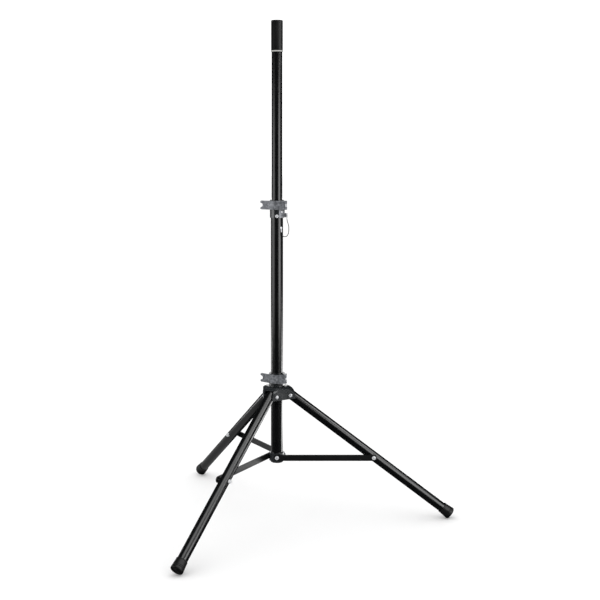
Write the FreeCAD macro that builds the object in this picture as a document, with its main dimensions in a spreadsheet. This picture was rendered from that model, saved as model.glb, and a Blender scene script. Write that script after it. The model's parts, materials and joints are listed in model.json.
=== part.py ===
import FreeCAD, Part
import math
import os
import re

import Sketcher

# Tripod stand for a loudspeaker: a telescoping mast, a sliding hub with three legs, three flat
# braces up from a collar at the mast's foot, two cam-lever clamps and a safety pin on a lanyard.
#
# Frame: millimetres, +Z up, origin on the floor under the mast's axis.  Leg 1 points along +X,
# legs 2 and 3 follow at 120 and 240 degrees.  The stand is modelled open, with its braces level.

Vector = FreeCAD.Vector
Rotation = FreeCAD.Rotation
Placement = FreeCAD.Placement

# ---------------------------------------------------------------- driving dimensions
# Each alias holds at least one underscore, which is how formula() tells it from a function.

SIZES = [
    ("tube_wall", 1.5, "wall of the mast, extension and leg tubes"),
    ("pole_dia", 35.0, "extension tube, the standard pole size"),
    ("bush_room", 1.0, "ring of space between the extension and the outer tube"),
    ("pole_length", 935.0, "extension tube"),
    ("pole_insertion", 310.0, "extension tube below the safety pin, as shown"),
    ("hole_pitch", 54.0, "pin holes of the extension tube"),
    ("hole_room", 1.0, "pin holes wider than the pin"),
    ("bush_lift", 2.0, "guide bush above the end of the extension tube"),
    ("bush_height", 30.0, "guide bush"),
    ("end_plug_cap", 3.0, "plug under the extension tube, the part outside it"),
    ("end_plug_lip", 0.5, "that plug wider than the extension tube"),
    ("end_plug_grip", 16.0, "that plug inside the extension tube"),
    ("top_plug_grip", 18.0, "plug in the top of the extension tube"),
    ("sleeve_wall", 1.5, "wall of the adapter sleeve with its running gap"),
    ("sleeve_length", 96.5, "adapter sleeve"),
    ("sleeve_cap", 3.5, "closed end of the adapter sleeve"),
    ("sleeve_float", 0.3, "adapter sleeve above its stop ring"),
    ("ring_height", 3.6, "stop ring under the adapter sleeve"),
    ("ring_step", 0.5, "stop ring beyond the adapter sleeve"),
    ("running_gap", 0.08, "radial clearance of a running fit"),
    ("free_gap", 0.6, "clearance between pieces that pass each other"),
    ("press_gap", 0.1, "clearance at the inner end of a screw or rivet"),
    ("over_cut", 1.0, "how far a cutting shape reaches past what it cuts"),
    ("mast_top", 1034.0, "upper end of the outer tube above the floor"),
    ("mast_plug_cap", 4.0, "plug under the outer tube, the part outside it"),
    ("mast_plug_grip", 13.0, "that plug inside the outer tube"),
    ("leg_dia", 32.0, "leg tube"),
    ("leg_overrun", 10.0, "leg tube past its hub pivot"),
    ("plug_length", 34.0, "nylon plug in the upper end of a leg"),
    ("hub_height", 420.0, "leg pivot above the floor, open"),
    ("pivot_gap", 8.0, "leg tube to outer tube, side by side at the hub"),
    ("hub_skirt", 12.0, "hub casting below the leg pivots"),
    ("hub_crown", 13.0, "top of the hub dome above a leg tube lying level"),
    ("hub_rim", 3.0, "hub dome beyond a leg tube standing in it"),
    ("dome_step", 1.0, "flat ledge between the dome's rounding and the neck"),
    ("neck_height", 42.0, "neck of the hub"),
    ("hub_clamp_drop", 16.5, "middle of the hub clamp below the top of the neck"),
    ("flat_step", 2.0, "flat web faces of the hub beyond the leg pivots"),
    ("liner_wall", 1.5, "nylon liner in the hub"),
    ("liner_rise", 6.0, "nylon liner above the hub dome"),
    ("web_wall", 4.0, "walls of the hub casting"),
    ("bolt_land", 6.0, "hub wall under a leg pivot's bolt head or nut"),
    ("seat_room", 1.0, "seat of that head or nut, wider than the head"),
    ("slot_room", 3.8, "leg slot between the leg tube and the mast"),
    ("roof_start", 5.0, "leg slot's roof begins this far beyond the pivot"),
    ("roof_bend", 1.0, "leg slot's roof bends this far beyond the pivot"),
    ("roof_end", 8.0, "leg slot's roof is highest this far inside the pivot"),
    ("roof_low", 2.2, "leg slot's roof above the leg tube, at its start"),
    ("roof_middle", 4.4, "leg slot's roof above the leg tube, at its bend"),
    ("roof_high", 7.2, "leg slot's roof above the leg tube, at its highest"),
    ("hollow_start", 7.0, "web hollow from the outer tube"),
    ("hollow_narrow", 8.0, "web hollow, width at its inner end"),
    ("hollow_margin", 1.5, "web hollow short of the leg slots, at its outer end"),
    ("hollow_roof", 15.0, "casting above the web hollow"),
    ("bolt_dia", 8.0, "pivot bolts of legs and braces"),
    ("head_step", 2.5, "head of a pivot bolt beyond its shank"),
    ("head_height", 4.0, "heads of the pivot bolts"),
    ("nut_height", 5.5, "nuts of the pivot bolts"),
    ("thread_end", 1.5, "end of a bolt's thread beyond its nut"),
    ("brace_level", 211.0, "brace pivots on the bottom collar above the floor"),
    ("brace_length", 320.0, "brace, between its two pivots"),
    ("brace_height", 20.0, "brace bar"),
    ("brace_thick", 4.0, "brace bar"),
    ("flat_wall", 3.0, "bottom collar's wall at its flat faces"),
    ("round_wall", 5.5, "bottom collar's wall between them"),
    ("collar_height", 28.0, "bottom collar"),
    ("collar_lift", 1.0, "bottom collar above the end of the outer tube"),
    ("spacer_step", 1.0, "spacer beyond the head of its bolt"),
    ("foot_length", 36.0, "rubber foot"),
    ("mouth_wall", 2.5, "rubber foot where the leg enters it"),
    ("floor_wall", 4.5, "rubber foot at the floor"),
    ("foot_cap", 8.0, "rubber under the end of the leg tube"),
    ("foot_round", 4.0, "rounded edge of the foot"),
    ("collar_wall", 3.0, "upper clamp collar round the outer tube"),
    ("collar_grip", 30.0, "upper clamp collar below the end of the outer tube"),
    ("collar_rise", 28.0, "upper clamp collar above it"),
    ("band_wall", 3.0, "band of the upper clamp"),
    ("clamp_rise", 11.5, "middle of the upper clamp above the end of the outer tube"),
    ("clamp_height", 26.0, "clamp bands"),
    ("lever_height", 29.0, "clamp levers"),
    ("lever_thick", 4.0, "clamp levers"),
    ("lever_tail", 46.0, "straight end of a clamp lever"),
    ("lever_wrap", 40.0, "degrees that a lever follows round the mast"),
    ("lever_gap", 0.8, "clamp lever to clamp band"),
    ("fork_dia", 12.2, "notch in the end of a clamp lever"),
    ("knuckle_gap", 0.45, "knuckle of a clamp lever to the clamp band"),
    ("hinge_room", 3.5, "knuckle of a clamp lever to the clamp ear"),
    ("hinge_radius", 6.0, "knuckles of a clamp lever"),
    ("hinge_pin", 5.0, "lever pin"),
    ("slit_width", 3.0, "slit between the clamp ears"),
    ("ear_thick", 7.0, "clamp ear under the lever"),
    ("ear_edge", 2.5, "clamp ear beyond its bolt"),
    ("ear_step", 1.5, "clamp ears short of the band's edges"),
    ("ear_root", 3.0, "clamp ears reaching into the hub's neck"),
    ("clamp_bolt", 6.0, "tangential bolt through the clamp ears"),
    ("clamp_nut", 10.0, "nut of that bolt, across its corners"),
    ("clamp_nut_height", 4.8, "nut of that bolt"),
    ("clamp_nut_gap", 0.25, "that nut to the clamp band"),
    ("eye_dia", 9.0, "eye of that bolt"),
    ("pin_rise", 8.0, "safety pin above the upper clamp collar's lower edge"),
    ("pin_dia", 8.0, "safety pin"),
    ("pin_point", 1.2, "tapered point of the safety pin"),
    ("pin_stand_off", 0.7, "point of the safety pin to the extension tube, as parked"),
    ("pin_head", 13.0, "head of the safety pin"),
    ("pin_head_thick", 3.2, "head of the safety pin"),
    ("boss_reach", 5.5, "boss of the pin bracket beyond its plate"),
    ("boss_dia", 14.0, "boss of the pin bracket"),
    ("bracket_wall", 2.5, "bracket that guides the safety pin"),
    ("bracket_height", 24.0, "bracket that guides the safety pin"),
    ("bracket_lift", 1.0, "that bracket above the collar's lower edge"),
    ("bracket_screw_drop", 4.0, "screw of that bracket below its top"),
    ("small_screw", 3.5, "screw that holds the pin bracket"),
    ("small_head", 6.6, "head of that screw"),
    ("small_head_height", 2.1, "head of that screw"),
    ("small_recess", 0.8, "floor of the recess in that head"),
    ("screw_dia", 5.0, "screw that holds the upper clamp collar"),
    ("screw_head", 11.0, "head of that screw"),
    ("screw_head_height", 4.2, "head of that screw"),
    ("screw_socket", 6.0, "hexagonal socket of that screw"),
    ("socket_floor", 1.5, "floor of that socket"),
    ("screw_rise", 6.0, "that screw above the collar's lower edge"),
    ("rivet_dia", 4.0, "rivet that holds the lanyard"),
    ("rivet_height", 3.0, "head of that rivet from the outer tube"),
    ("rivet_drop", 33.0, "that rivet below the upper clamp collar"),
    ("tab_gap", 0.3, "tab of the lanyard's anchor to the outer tube"),
    ("tab_thick", 1.0, "tab of the lanyard's anchor"),
    ("ferrule_dia", 4.0, "ferrules crimped on the lanyard"),
    ("ferrule_length", 7.0, "ferrules crimped on the lanyard"),
    ("ferrule_grip", 3.0, "end of a ferrule inside its neighbour"),
    ("ferrule_stem", 2.4, "end of the ferrule inside the pin's head"),
    ("ferrule_gap", 0.2, "barrel of the ferrule to the pin's head"),
    ("cord_dia", 2.4, "lanyard"),
    ("cord_gap", 0.3, "end of the lanyard to the ferrule"),
]

# Sizes that follow from the ones above, so that neighbouring pieces keep fitting each other.
DERIVED = [
    ("mast_dia", "pole_dia + 2 * bush_room + 2 * tube_wall", "outer tube"),
    ("mast_bottom", "brace_level - collar_height / 2 - collar_lift", "lower end of the outer tube"),
    ("sleeve_bottom", "mast_top - collar_grip", "underside of the upper clamp collar"),
    ("collar_top", "mast_top + collar_rise", "top of the upper clamp collar"),
    ("clamp_level", "mast_top + clamp_rise", "middle of the upper clamp"),
    ("pin_level", "sleeve_bottom + pin_rise", "safety pin, and one hole of the extension"),
    ("screw_level", "sleeve_bottom + screw_rise", "screw of the upper clamp collar"),
    ("rivet_level", "sleeve_bottom - rivet_drop", "lanyard rivet"),
    ("pole_bottom", "pin_level - pole_insertion", "lower end of the extension tube"),
    ("pole_top", "pole_bottom + pole_length", "upper end of the extension tube"),
    ("sleeve_dia", "pole_dia + 2 * sleeve_wall", "adapter sleeve"),
    ("ring_dia", "sleeve_dia + 2 * ring_step", "stop ring under the adapter sleeve"),
    ("ring_top", "pole_top + sleeve_cap - sleeve_length", "top of the stop ring"),
    ("clamp_sleeve", "mast_dia + 2 * collar_wall", "upper clamp collar"),
    ("neck_radius", "clamp_sleeve / 2 + band_wall", "neck of the hub, and band of the upper clamp"),
    ("hub_reach", "mast_dia / 2 + leg_dia / 2 + pivot_gap", "leg pivot from the mast axis"),
    ("hub_bottom", "hub_height - hub_skirt", "underside of the hub casting"),
    ("hub_shoulder", "hub_height + leg_dia / 2 + hub_crown", "top of the hub dome"),
    ("hub_radius", "hub_reach + leg_dia / 2 + hub_rim", "hub dome"),
    ("dome_radius", "hub_radius - neck_radius - dome_step", "rounding of the hub dome"),
    ("neck_top", "hub_shoulder + neck_height", "top of the hub neck"),
    ("neck_low", "hub_shoulder + liner_rise", "lower end of the slit neck, and top of the liner"),
    ("hub_flat", "hub_reach + flat_step", "flat web faces of the hub"),
    ("hub_clamp", "neck_top - hub_clamp_drop", "middle of the hub clamp"),
    ("head_dia", "bolt_dia + 2 * head_step", "heads and nuts of the pivot bolts"),
    ("bolt_seat", "leg_dia / 2 + free_gap + bolt_land", "pivot bolt's seat from the leg's axis"),
    ("collar_flat", "mast_dia / 2 + flat_wall", "pivot faces of the bottom collar"),
    ("collar_radius", "mast_dia / 2 + round_wall", "bottom collar"),
    ("foot_mouth", "leg_dia + 2 * mouth_wall", "rubber foot at its mouth"),
    ("foot_end", "leg_dia + 2 * floor_wall", "rubber foot at the floor"),
    ("hinge_front", "slit_width / 2 + ear_thick + hinge_radius + hinge_room", "lever pin, forwards"),
    ("hinge_side", "sqrt((neck_radius + hinge_radius + knuckle_gap) ^ 2 - hinge_front ^ 2)",
     "lever pin from the mast axis, sideways"),
    ("ear_reach", "hinge_side + clamp_bolt / 2 + ear_edge", "clamp ears from the mast axis"),
    ("ear_boss", "sqrt(neck_radius ^ 2 - (hinge_side - clamp_nut / 2) ^ 2) - slit_width / 2"
                 " + clamp_nut_gap", "clamp ear under the nut, which stands clear of the band"),
    ("eye_height", "clamp_height / 3", "eye of the clamp bolt"),
    ("bracket_screw_level", "sleeve_bottom + bracket_height - bracket_screw_drop", "that screw"),
    ("pin_head_start", "clamp_sleeve / 2 + bracket_wall + boss_reach + free_gap", "pin's head"),
]

doc = FreeCAD.newDocument("speaker_stand")
sheet = doc.addObject("Spreadsheet::Sheet", "Sizes")
cells = SIZES + [(alias, "=" + text, note) for alias, text, note in DERIVED]
for row, (alias, value, note) in enumerate(cells, start=1):
    sheet.set(f"A{row}", alias)
    sheet.set(f"B{row}", str(value))
    sheet.setAlias(f"B{row}", alias)
    sheet.set(f"C{row}", note)
doc.recompute()

ALIAS = re.compile(r"[a-z]+(?:_[a-z]+)+")
subparts = []


def size(alias):
    """The value of a named size in the sheet."""
    return float(sheet.get(alias))


def formula(text):
    """An expression that names sizes by their alias alone, as FreeCAD wants it."""
    return ALIAS.sub(lambda found: "Sizes." + found.group(0), text)


# ---------------------------------------------------------------- geometry worked out once

LEGS = (1, 2, 3)
LEG_STEP = 120.0
RISE = size("hub_height") - size("brace_level")
RUN = size("brace_length") - size("hub_reach")
SLOPE = math.degrees(math.atan2(RISE, RUN))
LEG_HOLE = math.hypot(RISE, RUN)

# The foot's rounded lower edge touches the floor, which gives the leg's length from its pivot.
FOOT_TAPER = math.atan2((size("foot_end") - size("foot_mouth")) / 2, size("foot_length"))
ROUND_CENTRE = (size("foot_end") / 2
                - size("foot_round") * (math.tan(FOOT_TAPER) + 1 / math.cos(FOOT_TAPER)))
EDGE_DROP = ROUND_CENTRE * math.cos(math.radians(SLOPE))
LEG_LENGTH = ((size("hub_height") - size("foot_round") - EDGE_DROP) / math.sin(math.radians(SLOPE))
              + size("foot_round"))

UPRIGHT = Rotation(Vector(0, 0, 1), 0)
Z_TO_X = Rotation(Vector(0, 1, 0), 90)
Z_TO_Y = Rotation(Vector(1, 0, 0), -90)
RIVET_TURN = -50.0      # the lanyard's rivet, seen round the mast from leg 1
BRACKET_START = -75.0   # the pin bracket hugs the collar from here
BRACKET_SWEEP = 95.0
BRACKET_SCREW = -53.0
SAME = 1e-4             # two lengths nearer than this are the same


def leg_azimuth(number):
    """Direction of a leg about the mast, in degrees."""
    return (number - 1) * LEG_STEP


def about_mast(degrees):
    """A turn about the mast's axis."""
    return Placement(Vector(), Rotation(Vector(0, 0, 1), degrees))


def leg_frame(number):
    """Frame of a leg: origin on its hub pivot, X down the leg, Y along the pivot bolt."""
    pivot = Placement(Vector(size("hub_reach"), 0, size("hub_height")),
                      Rotation(Vector(0, 1, 0), SLOPE))
    return about_mast(leg_azimuth(number)).multiply(pivot)


def brace_frame(number):
    """Frame of a brace: origin on the mast axis at the collar pivot, X out under the leg."""
    return about_mast(leg_azimuth(number)).multiply(
        Placement(Vector(0, 0, size("brace_level")), Rotation()))


def turned_to(rotation, x=0.0, y=0.0, z=0.0):
    """A place inside another frame."""
    return Placement(Vector(x, y, z), rotation)


# ---------------------------------------------------------------- building helpers

SEED = 10.0             # size at which a sketch is first drawn, before the sheet drives it


def bind(piece, **texts):
    """Bind properties to formulas of sheet sizes; a double underscore stands for a dot."""
    for name, text in texts.items():
        piece.setExpression(name.replace("__", "."), formula(text))


def new_body(label):
    """An empty PartDesign body that becomes a sub-part."""
    body = doc.addObject("PartDesign::Body", label)
    body.Label = label
    subparts.append(body)
    return body


def datum(body, role):
    """An origin plane or axis of a body."""
    return next(item for item in body.Origin.OriginFeatures if item.Role == role)


def new_sketch(body, role, name, offset="0", turn=0.0):
    """A sketch on an origin plane, moved along the plane's normal or turned about the body's Z."""
    sketch = body.newObject("Sketcher::SketchObject", name)
    sketch.AttachmentSupport = [(datum(body, role), "")]
    sketch.MapMode = "FlatFace"
    upward = Vector(0, 0, 1) if role == "XY_Plane" else Vector(0, 1, 0)
    sketch.AttachmentOffset = Placement(Vector(), Rotation(upward, turn))
    sketch.setExpression("AttachmentOffset.Base.z", formula(offset))
    return sketch


def fix_point(sketch, geometry, end, across, up, seed):
    """Hold a point of a sketch at two bound distances from the sketch's origin."""
    for kind, text, start in (("DistanceX", across, seed.x), ("DistanceY", up, seed.y)):
        index = sketch.addConstraint(Sketcher.Constraint(kind, -1, 1, geometry, end, start))
        sketch.setExpression(f"Constraints[{index}]", formula(text))


def outline(body, role, name, points, offset="0", turn=0.0):
    """A closed polygon whose corners are bound to the sheet."""
    sketch = new_sketch(body, role, name, offset, turn)
    count = len(points)
    turns = [2 * math.pi * i / count for i in range(count)]
    seeds = [Vector(SEED * math.cos(turn), SEED * math.sin(turn), 0) for turn in turns]
    for i in range(count):
        sketch.addGeometry(Part.LineSegment(seeds[i], seeds[(i + 1) % count]), False)
    for i in range(count):
        sketch.addConstraint(Sketcher.Constraint("Coincident", i, 2, (i + 1) % count, 1))
    for i, (across, up) in enumerate(points):
        fix_point(sketch, i, 1, across, up, seeds[i])
    return sketch


def circles(body, role, name, rings, offset="0", turn=0.0):
    """Circles given as (across, up, diameter), all bound to the sheet."""
    sketch = new_sketch(body, role, name, offset, turn)
    for i, (across, up, diameter) in enumerate(rings):
        seed = Vector(3 * SEED * i, 0, 0)
        sketch.addGeometry(Part.Circle(seed, Vector(0, 0, 1), SEED), False)
        fix_point(sketch, i, 3, across, up, seed)
        index = sketch.addConstraint(Sketcher.Constraint("Diameter", i, 2 * SEED))
        sketch.setExpression(f"Constraints[{index}]", formula(diameter))
    return sketch


def revolve(body, sketch):
    """Turn a profile about the body's Z axis."""
    feature = body.newObject("PartDesign::Revolution", sketch.Name + "_turn")
    feature.Profile = sketch
    feature.ReferenceAxis = (sketch, ["V_Axis"])
    feature.Angle = 360
    return feature


def pad(body, sketch, length, side="One side"):
    """Grow a sketch along its normal."""
    feature = body.newObject("PartDesign::Pad", sketch.Name + "_pad")
    feature.Profile = sketch
    feature.SideType = side
    feature.setExpression("Length", formula(length))
    return feature


def pocket(body, sketch, length, side="Symmetric", reverse=False):
    """Cut a sketch out of the body."""
    feature = body.newObject("PartDesign::Pocket", sketch.Name + "_cut")
    feature.Profile = sketch
    feature.SideType = side
    feature.Reversed = reverse
    feature.setExpression("Length", formula(length))
    return feature


def three_times(body, feature):
    """Repeat a feature three times round the mast's axis."""
    pattern = body.newObject("PartDesign::PolarPattern", feature.Name + "_three")
    pattern.Originals = [feature]
    pattern.Axis = (datum(body, "Z_Axis"), [""])
    pattern.Angle = 360
    pattern.Occurrences = len(LEGS)
    body.Tip = pattern
    return pattern


def soften(body, radius, edge_radius, level):
    """Fillet the round edge of a given radius at a given level."""
    doc.recompute()
    base = body.Tip
    names = []
    for number, edge in enumerate(base.Shape.Edges, start=1):
        curve = edge.Curve
        if not isinstance(curve, Part.Circle):
            continue
        if abs(curve.Radius - edge_radius) < SAME and abs(curve.Center.z - level) < SAME:
            names.append(f"Edge{number}")
    feature = body.newObject("PartDesign::Fillet", body.Name + "_edges")
    feature.Base = (base, names)
    feature.setExpression("Radius", formula(radius))
    return feature


def turned(label, points, place=None):
    """A piece turned about its own Z axis from (radius, height) corners."""
    body = new_body(label)
    revolve(body, outline(body, "XZ_Plane", label + "_profile", points))
    if place is not None:
        body.Placement = place
    return body


def cylinder(name, diameter, height, place):
    """A cylinder whose sizes are bound to the sheet."""
    piece = doc.addObject("Part::Cylinder", name)
    bind(piece, Radius=f"({diameter}) / 2", Height=height)
    piece.Placement = place
    return piece


def box(name, length, width, height, place):
    """A block whose sizes are bound to the sheet."""
    piece = doc.addObject("Part::Box", name)
    bind(piece, Length=length, Width=width, Height=height)
    piece.Placement = place
    return piece


def nut_blank(name, across, height, place):
    """A hexagonal prism whose sizes are bound to the sheet."""
    piece = doc.addObject("Part::Prism", name)
    piece.Polygon = 6
    bind(piece, Circumradius=f"({across}) / 2", Height=height)
    piece.Placement = place
    return piece


def fused(name, pieces):
    """Several solids made one."""
    result = doc.addObject("Part::MultiFuse", name)
    result.Shapes = pieces
    result.Refine = True
    return result


def cut(name, base, tool):
    """One solid less another."""
    result = doc.addObject("Part::Cut", name)
    result.Base = base
    result.Tool = tool
    return result


def group(name, pieces):
    """Identical separate solids in one node."""
    result = doc.addObject("Part::Compound", name)
    result.Links = pieces
    return result


def subpart(label, piece):
    """Name a finished object as a sub-part."""
    piece.Label = label
    subparts.append(piece)
    return piece


# ---------------------------------------------------------------- mast

def build_outer_tube():
    """Outer tube with the holes for the safety pin, the collar screw and the lanyard rivet."""
    body = turned("outer_tube", [
        ("mast_dia / 2 - tube_wall", "mast_bottom"),
        ("mast_dia / 2", "mast_bottom"),
        ("mast_dia / 2", "mast_top"),
        ("mast_dia / 2 - tube_wall", "mast_top"),
    ])
    pin_hole = circles(body, "YZ_Plane", "mast_pin_hole", [("0", "pin_level", "pin_dia + free_gap")])
    pocket(body, pin_hole, "mast_dia", "One side", reverse=True)
    screw_hole = circles(body, "XZ_Plane", "mast_screw_hole", [("0", "screw_level", "screw_dia")])
    pocket(body, screw_hole, "mast_dia", "One side", reverse=True)
    rivet_hole = circles(body, "YZ_Plane", "mast_rivet_hole", [("0", "rivet_level", "rivet_dia")],
                         turn=RIVET_TURN)
    pocket(body, rivet_hole, "mast_dia", "One side", reverse=True)


def build_mast_end_plug():
    """Nylon plug that closes the lower end of the outer tube."""
    turned("mast_end_plug", [
        ("0", "mast_bottom - mast_plug_cap"),
        ("mast_dia / 2", "mast_bottom - mast_plug_cap"),
        ("mast_dia / 2", "mast_bottom"),
        ("mast_dia / 2 - tube_wall", "mast_bottom"),
        ("mast_dia / 2 - tube_wall", "mast_bottom + mast_plug_grip"),
        ("0", "mast_bottom + mast_plug_grip"),
    ])


def build_bottom_collar():
    """Cast collar at the foot of the mast, with a flat for each brace."""
    bottom = "brace_level - collar_height / 2"
    top = "brace_level + collar_height / 2"
    body = turned("bottom_collar", [
        ("mast_dia / 2", bottom),
        ("collar_radius", bottom),
        ("collar_radius", top),
        ("mast_dia / 2", top),
    ])
    # Leg 1's brace lies on the -Y side, and its neighbours' follow round the mast.
    flat = outline(body, "XZ_Plane", "collar_flat_face", [
        ("-collar_radius", bottom + " - over_cut"),
        ("collar_radius", bottom + " - over_cut"),
        ("collar_radius", top + " + over_cut"),
        ("-collar_radius", top + " + over_cut"),
    ], offset="collar_flat")
    three_times(body, pocket(body, flat, "collar_radius", "One side", reverse=True))
    hole = circles(body, "XZ_Plane", "collar_screw_hole", [("0", "brace_level", "bolt_dia")],
                   offset="collar_flat + over_cut")
    three_times(body, pocket(body, hole, "collar_flat + over_cut - mast_dia / 2", "One side"))


def build_brace_screws():
    """Screws on which the braces turn: head outside the bar, thread in the collar."""
    screws = []
    for number in LEGS:
        side = brace_frame(number).multiply(turned_to(Z_TO_Y.inverted()))
        bar_face = size("collar_flat") + size("free_gap") / 2 + size("brace_thick")
        head_face = bar_face + size("free_gap") / 2
        head = cylinder(f"brace_screw_head_{number}", "head_dia", "head_height",
                        side.multiply(turned_to(UPRIGHT, z=head_face)))
        shank = cylinder(f"brace_screw_shank_{number}", "bolt_dia",
                         "collar_flat + free_gap + brace_thick - mast_dia / 2 + over_cut",
                         side.multiply(turned_to(UPRIGHT, z=size("mast_dia") / 2)))
        socket = nut_blank(f"brace_screw_socket_{number}", "head_dia / 2", "head_height",
                           side.multiply(turned_to(UPRIGHT, z=head_face + size("head_height") / 2)))
        screws.append(cut(f"brace_screw_{number}",
                          fused(f"brace_screw_solid_{number}", [head, shank]), socket))
    subpart("brace_pivot_screws", group("brace_pivot_screws", screws))


# ---------------------------------------------------------------- clamps

def build_upper_collar():
    """Black collar that caps the outer tube and guides the extension; its top half is slit."""
    body = turned("upper_clamp_collar", [
        ("mast_dia / 2", "sleeve_bottom"),
        ("clamp_sleeve / 2", "sleeve_bottom"),
        ("clamp_sleeve / 2", "collar_top"),
        ("pole_dia / 2 + running_gap", "collar_top"),
        ("pole_dia / 2 + running_gap", "mast_top"),
        ("mast_dia / 2", "mast_top"),
    ])
    pocket(body, slit_outline(body, "collar_slit", "mast_top"), "collar_top - mast_top + over_cut",
           "One side", reverse=True)
    pin_hole = circles(body, "YZ_Plane", "collar_pin_hole", [("0", "pin_level", "pin_dia + free_gap")])
    pocket(body, pin_hole, "clamp_sleeve", "One side", reverse=True)
    screw_hole = circles(body, "XZ_Plane", "collar_front_hole", [("0", "screw_level", "screw_dia")])
    pocket(body, screw_hole, "clamp_sleeve", "One side", reverse=True)
    small_hole = circles(body, "YZ_Plane", "collar_bracket_hole",
                         [("0", "bracket_screw_level", "small_screw")],
                         turn=BRACKET_SCREW)
    pocket(body, small_hole, "clamp_sleeve", "One side", reverse=True)


def slit_outline(body, name, bottom):
    """Plan of the slit that lets a clamp close."""
    return outline(body, "XY_Plane", name, [
        ("0", "-slit_width / 2"),
        ("2 * neck_radius", "-slit_width / 2"),
        ("2 * neck_radius", "slit_width / 2"),
        ("0", "slit_width / 2"),
    ], offset=bottom)


def add_ears(body, prefix, inner, level):
    """Two ears either side of the slit, bored for the tangential bolt."""
    for word, near, far in (("rear", "slit_width / 2", "slit_width / 2 + ear_boss"),
                            ("front", "-slit_width / 2", "-slit_width / 2 - ear_thick")):
        plan = outline(body, "XY_Plane", f"{prefix}_{word}_ear", [
            (inner, near),
            ("ear_reach", near),
            ("ear_reach", far),
            (inner, far),
        ], offset=f"{level} - clamp_height / 2 + ear_step")
        pad(body, plan, "clamp_height - 2 * ear_step")
    bore = circles(body, "XZ_Plane", f"{prefix}_ear_bore", [("hinge_side", level, "clamp_bolt")])
    pocket(body, bore, "4 * ear_boss")


def build_upper_band():
    """Cast band round the collar, with the ears that the lever draws together."""
    bottom = "clamp_level - clamp_height / 2"
    top = "clamp_level + clamp_height / 2"
    body = turned("upper_clamp_band", [
        ("clamp_sleeve / 2", bottom),
        ("neck_radius", bottom),
        ("neck_radius", top),
        ("clamp_sleeve / 2", top),
    ])
    pocket(body, slit_outline(body, "band_slit", bottom + " - over_cut"), "clamp_height + 2 * over_cut",
           "One side", reverse=True)
    add_ears(body, "band", "clamp_sleeve / 2 + band_wall / 3", "clamp_level")


def build_clamp_hardware(prefix, level):
    """Bolt with an eye, its nut and the lever's pin."""
    hinge_x = size("hinge_side")
    hinge_y = -size("hinge_front")
    ear_back = size("slit_width") / 2 + size("ear_boss")
    eye = cylinder(prefix + "_bolt_eye", "eye_dia", "eye_height",
                   turned_to(UPRIGHT, hinge_x, hinge_y, level - size("eye_height") / 2))
    shank = cylinder(prefix + "_bolt_shank", "clamp_bolt",
                     "hinge_front + slit_width / 2 + ear_boss + clamp_bolt",
                     turned_to(Z_TO_Y, hinge_x, hinge_y, level))
    hole = cylinder(prefix + "_bolt_hole", "hinge_pin", "clamp_height",
                    turned_to(UPRIGHT, hinge_x, hinge_y, level - size("clamp_height") / 2))
    solid = fused(prefix + "_bolt_solid", [eye, shank])
    subpart(prefix + "_bolt", cut(prefix + "_bolt", solid, hole))

    nut = nut_blank(prefix + "_nut_blank", "clamp_nut", "clamp_nut_height",
                    turned_to(Z_TO_Y, hinge_x, ear_back, level))
    thread = cylinder(prefix + "_nut_thread", "clamp_bolt", "clamp_bolt * 2",
                      turned_to(Z_TO_Y, hinge_x, ear_back - size("over_cut"), level))
    subpart(prefix + "_nut", cut(prefix + "_nut", nut, thread))

    pin = cylinder(prefix + "_pin_rod", "hinge_pin", "lever_height",
                   turned_to(UPRIGHT, hinge_x, hinge_y, level - size("lever_height") / 2))
    subpart(prefix + "_lever_pin", pin)


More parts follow.
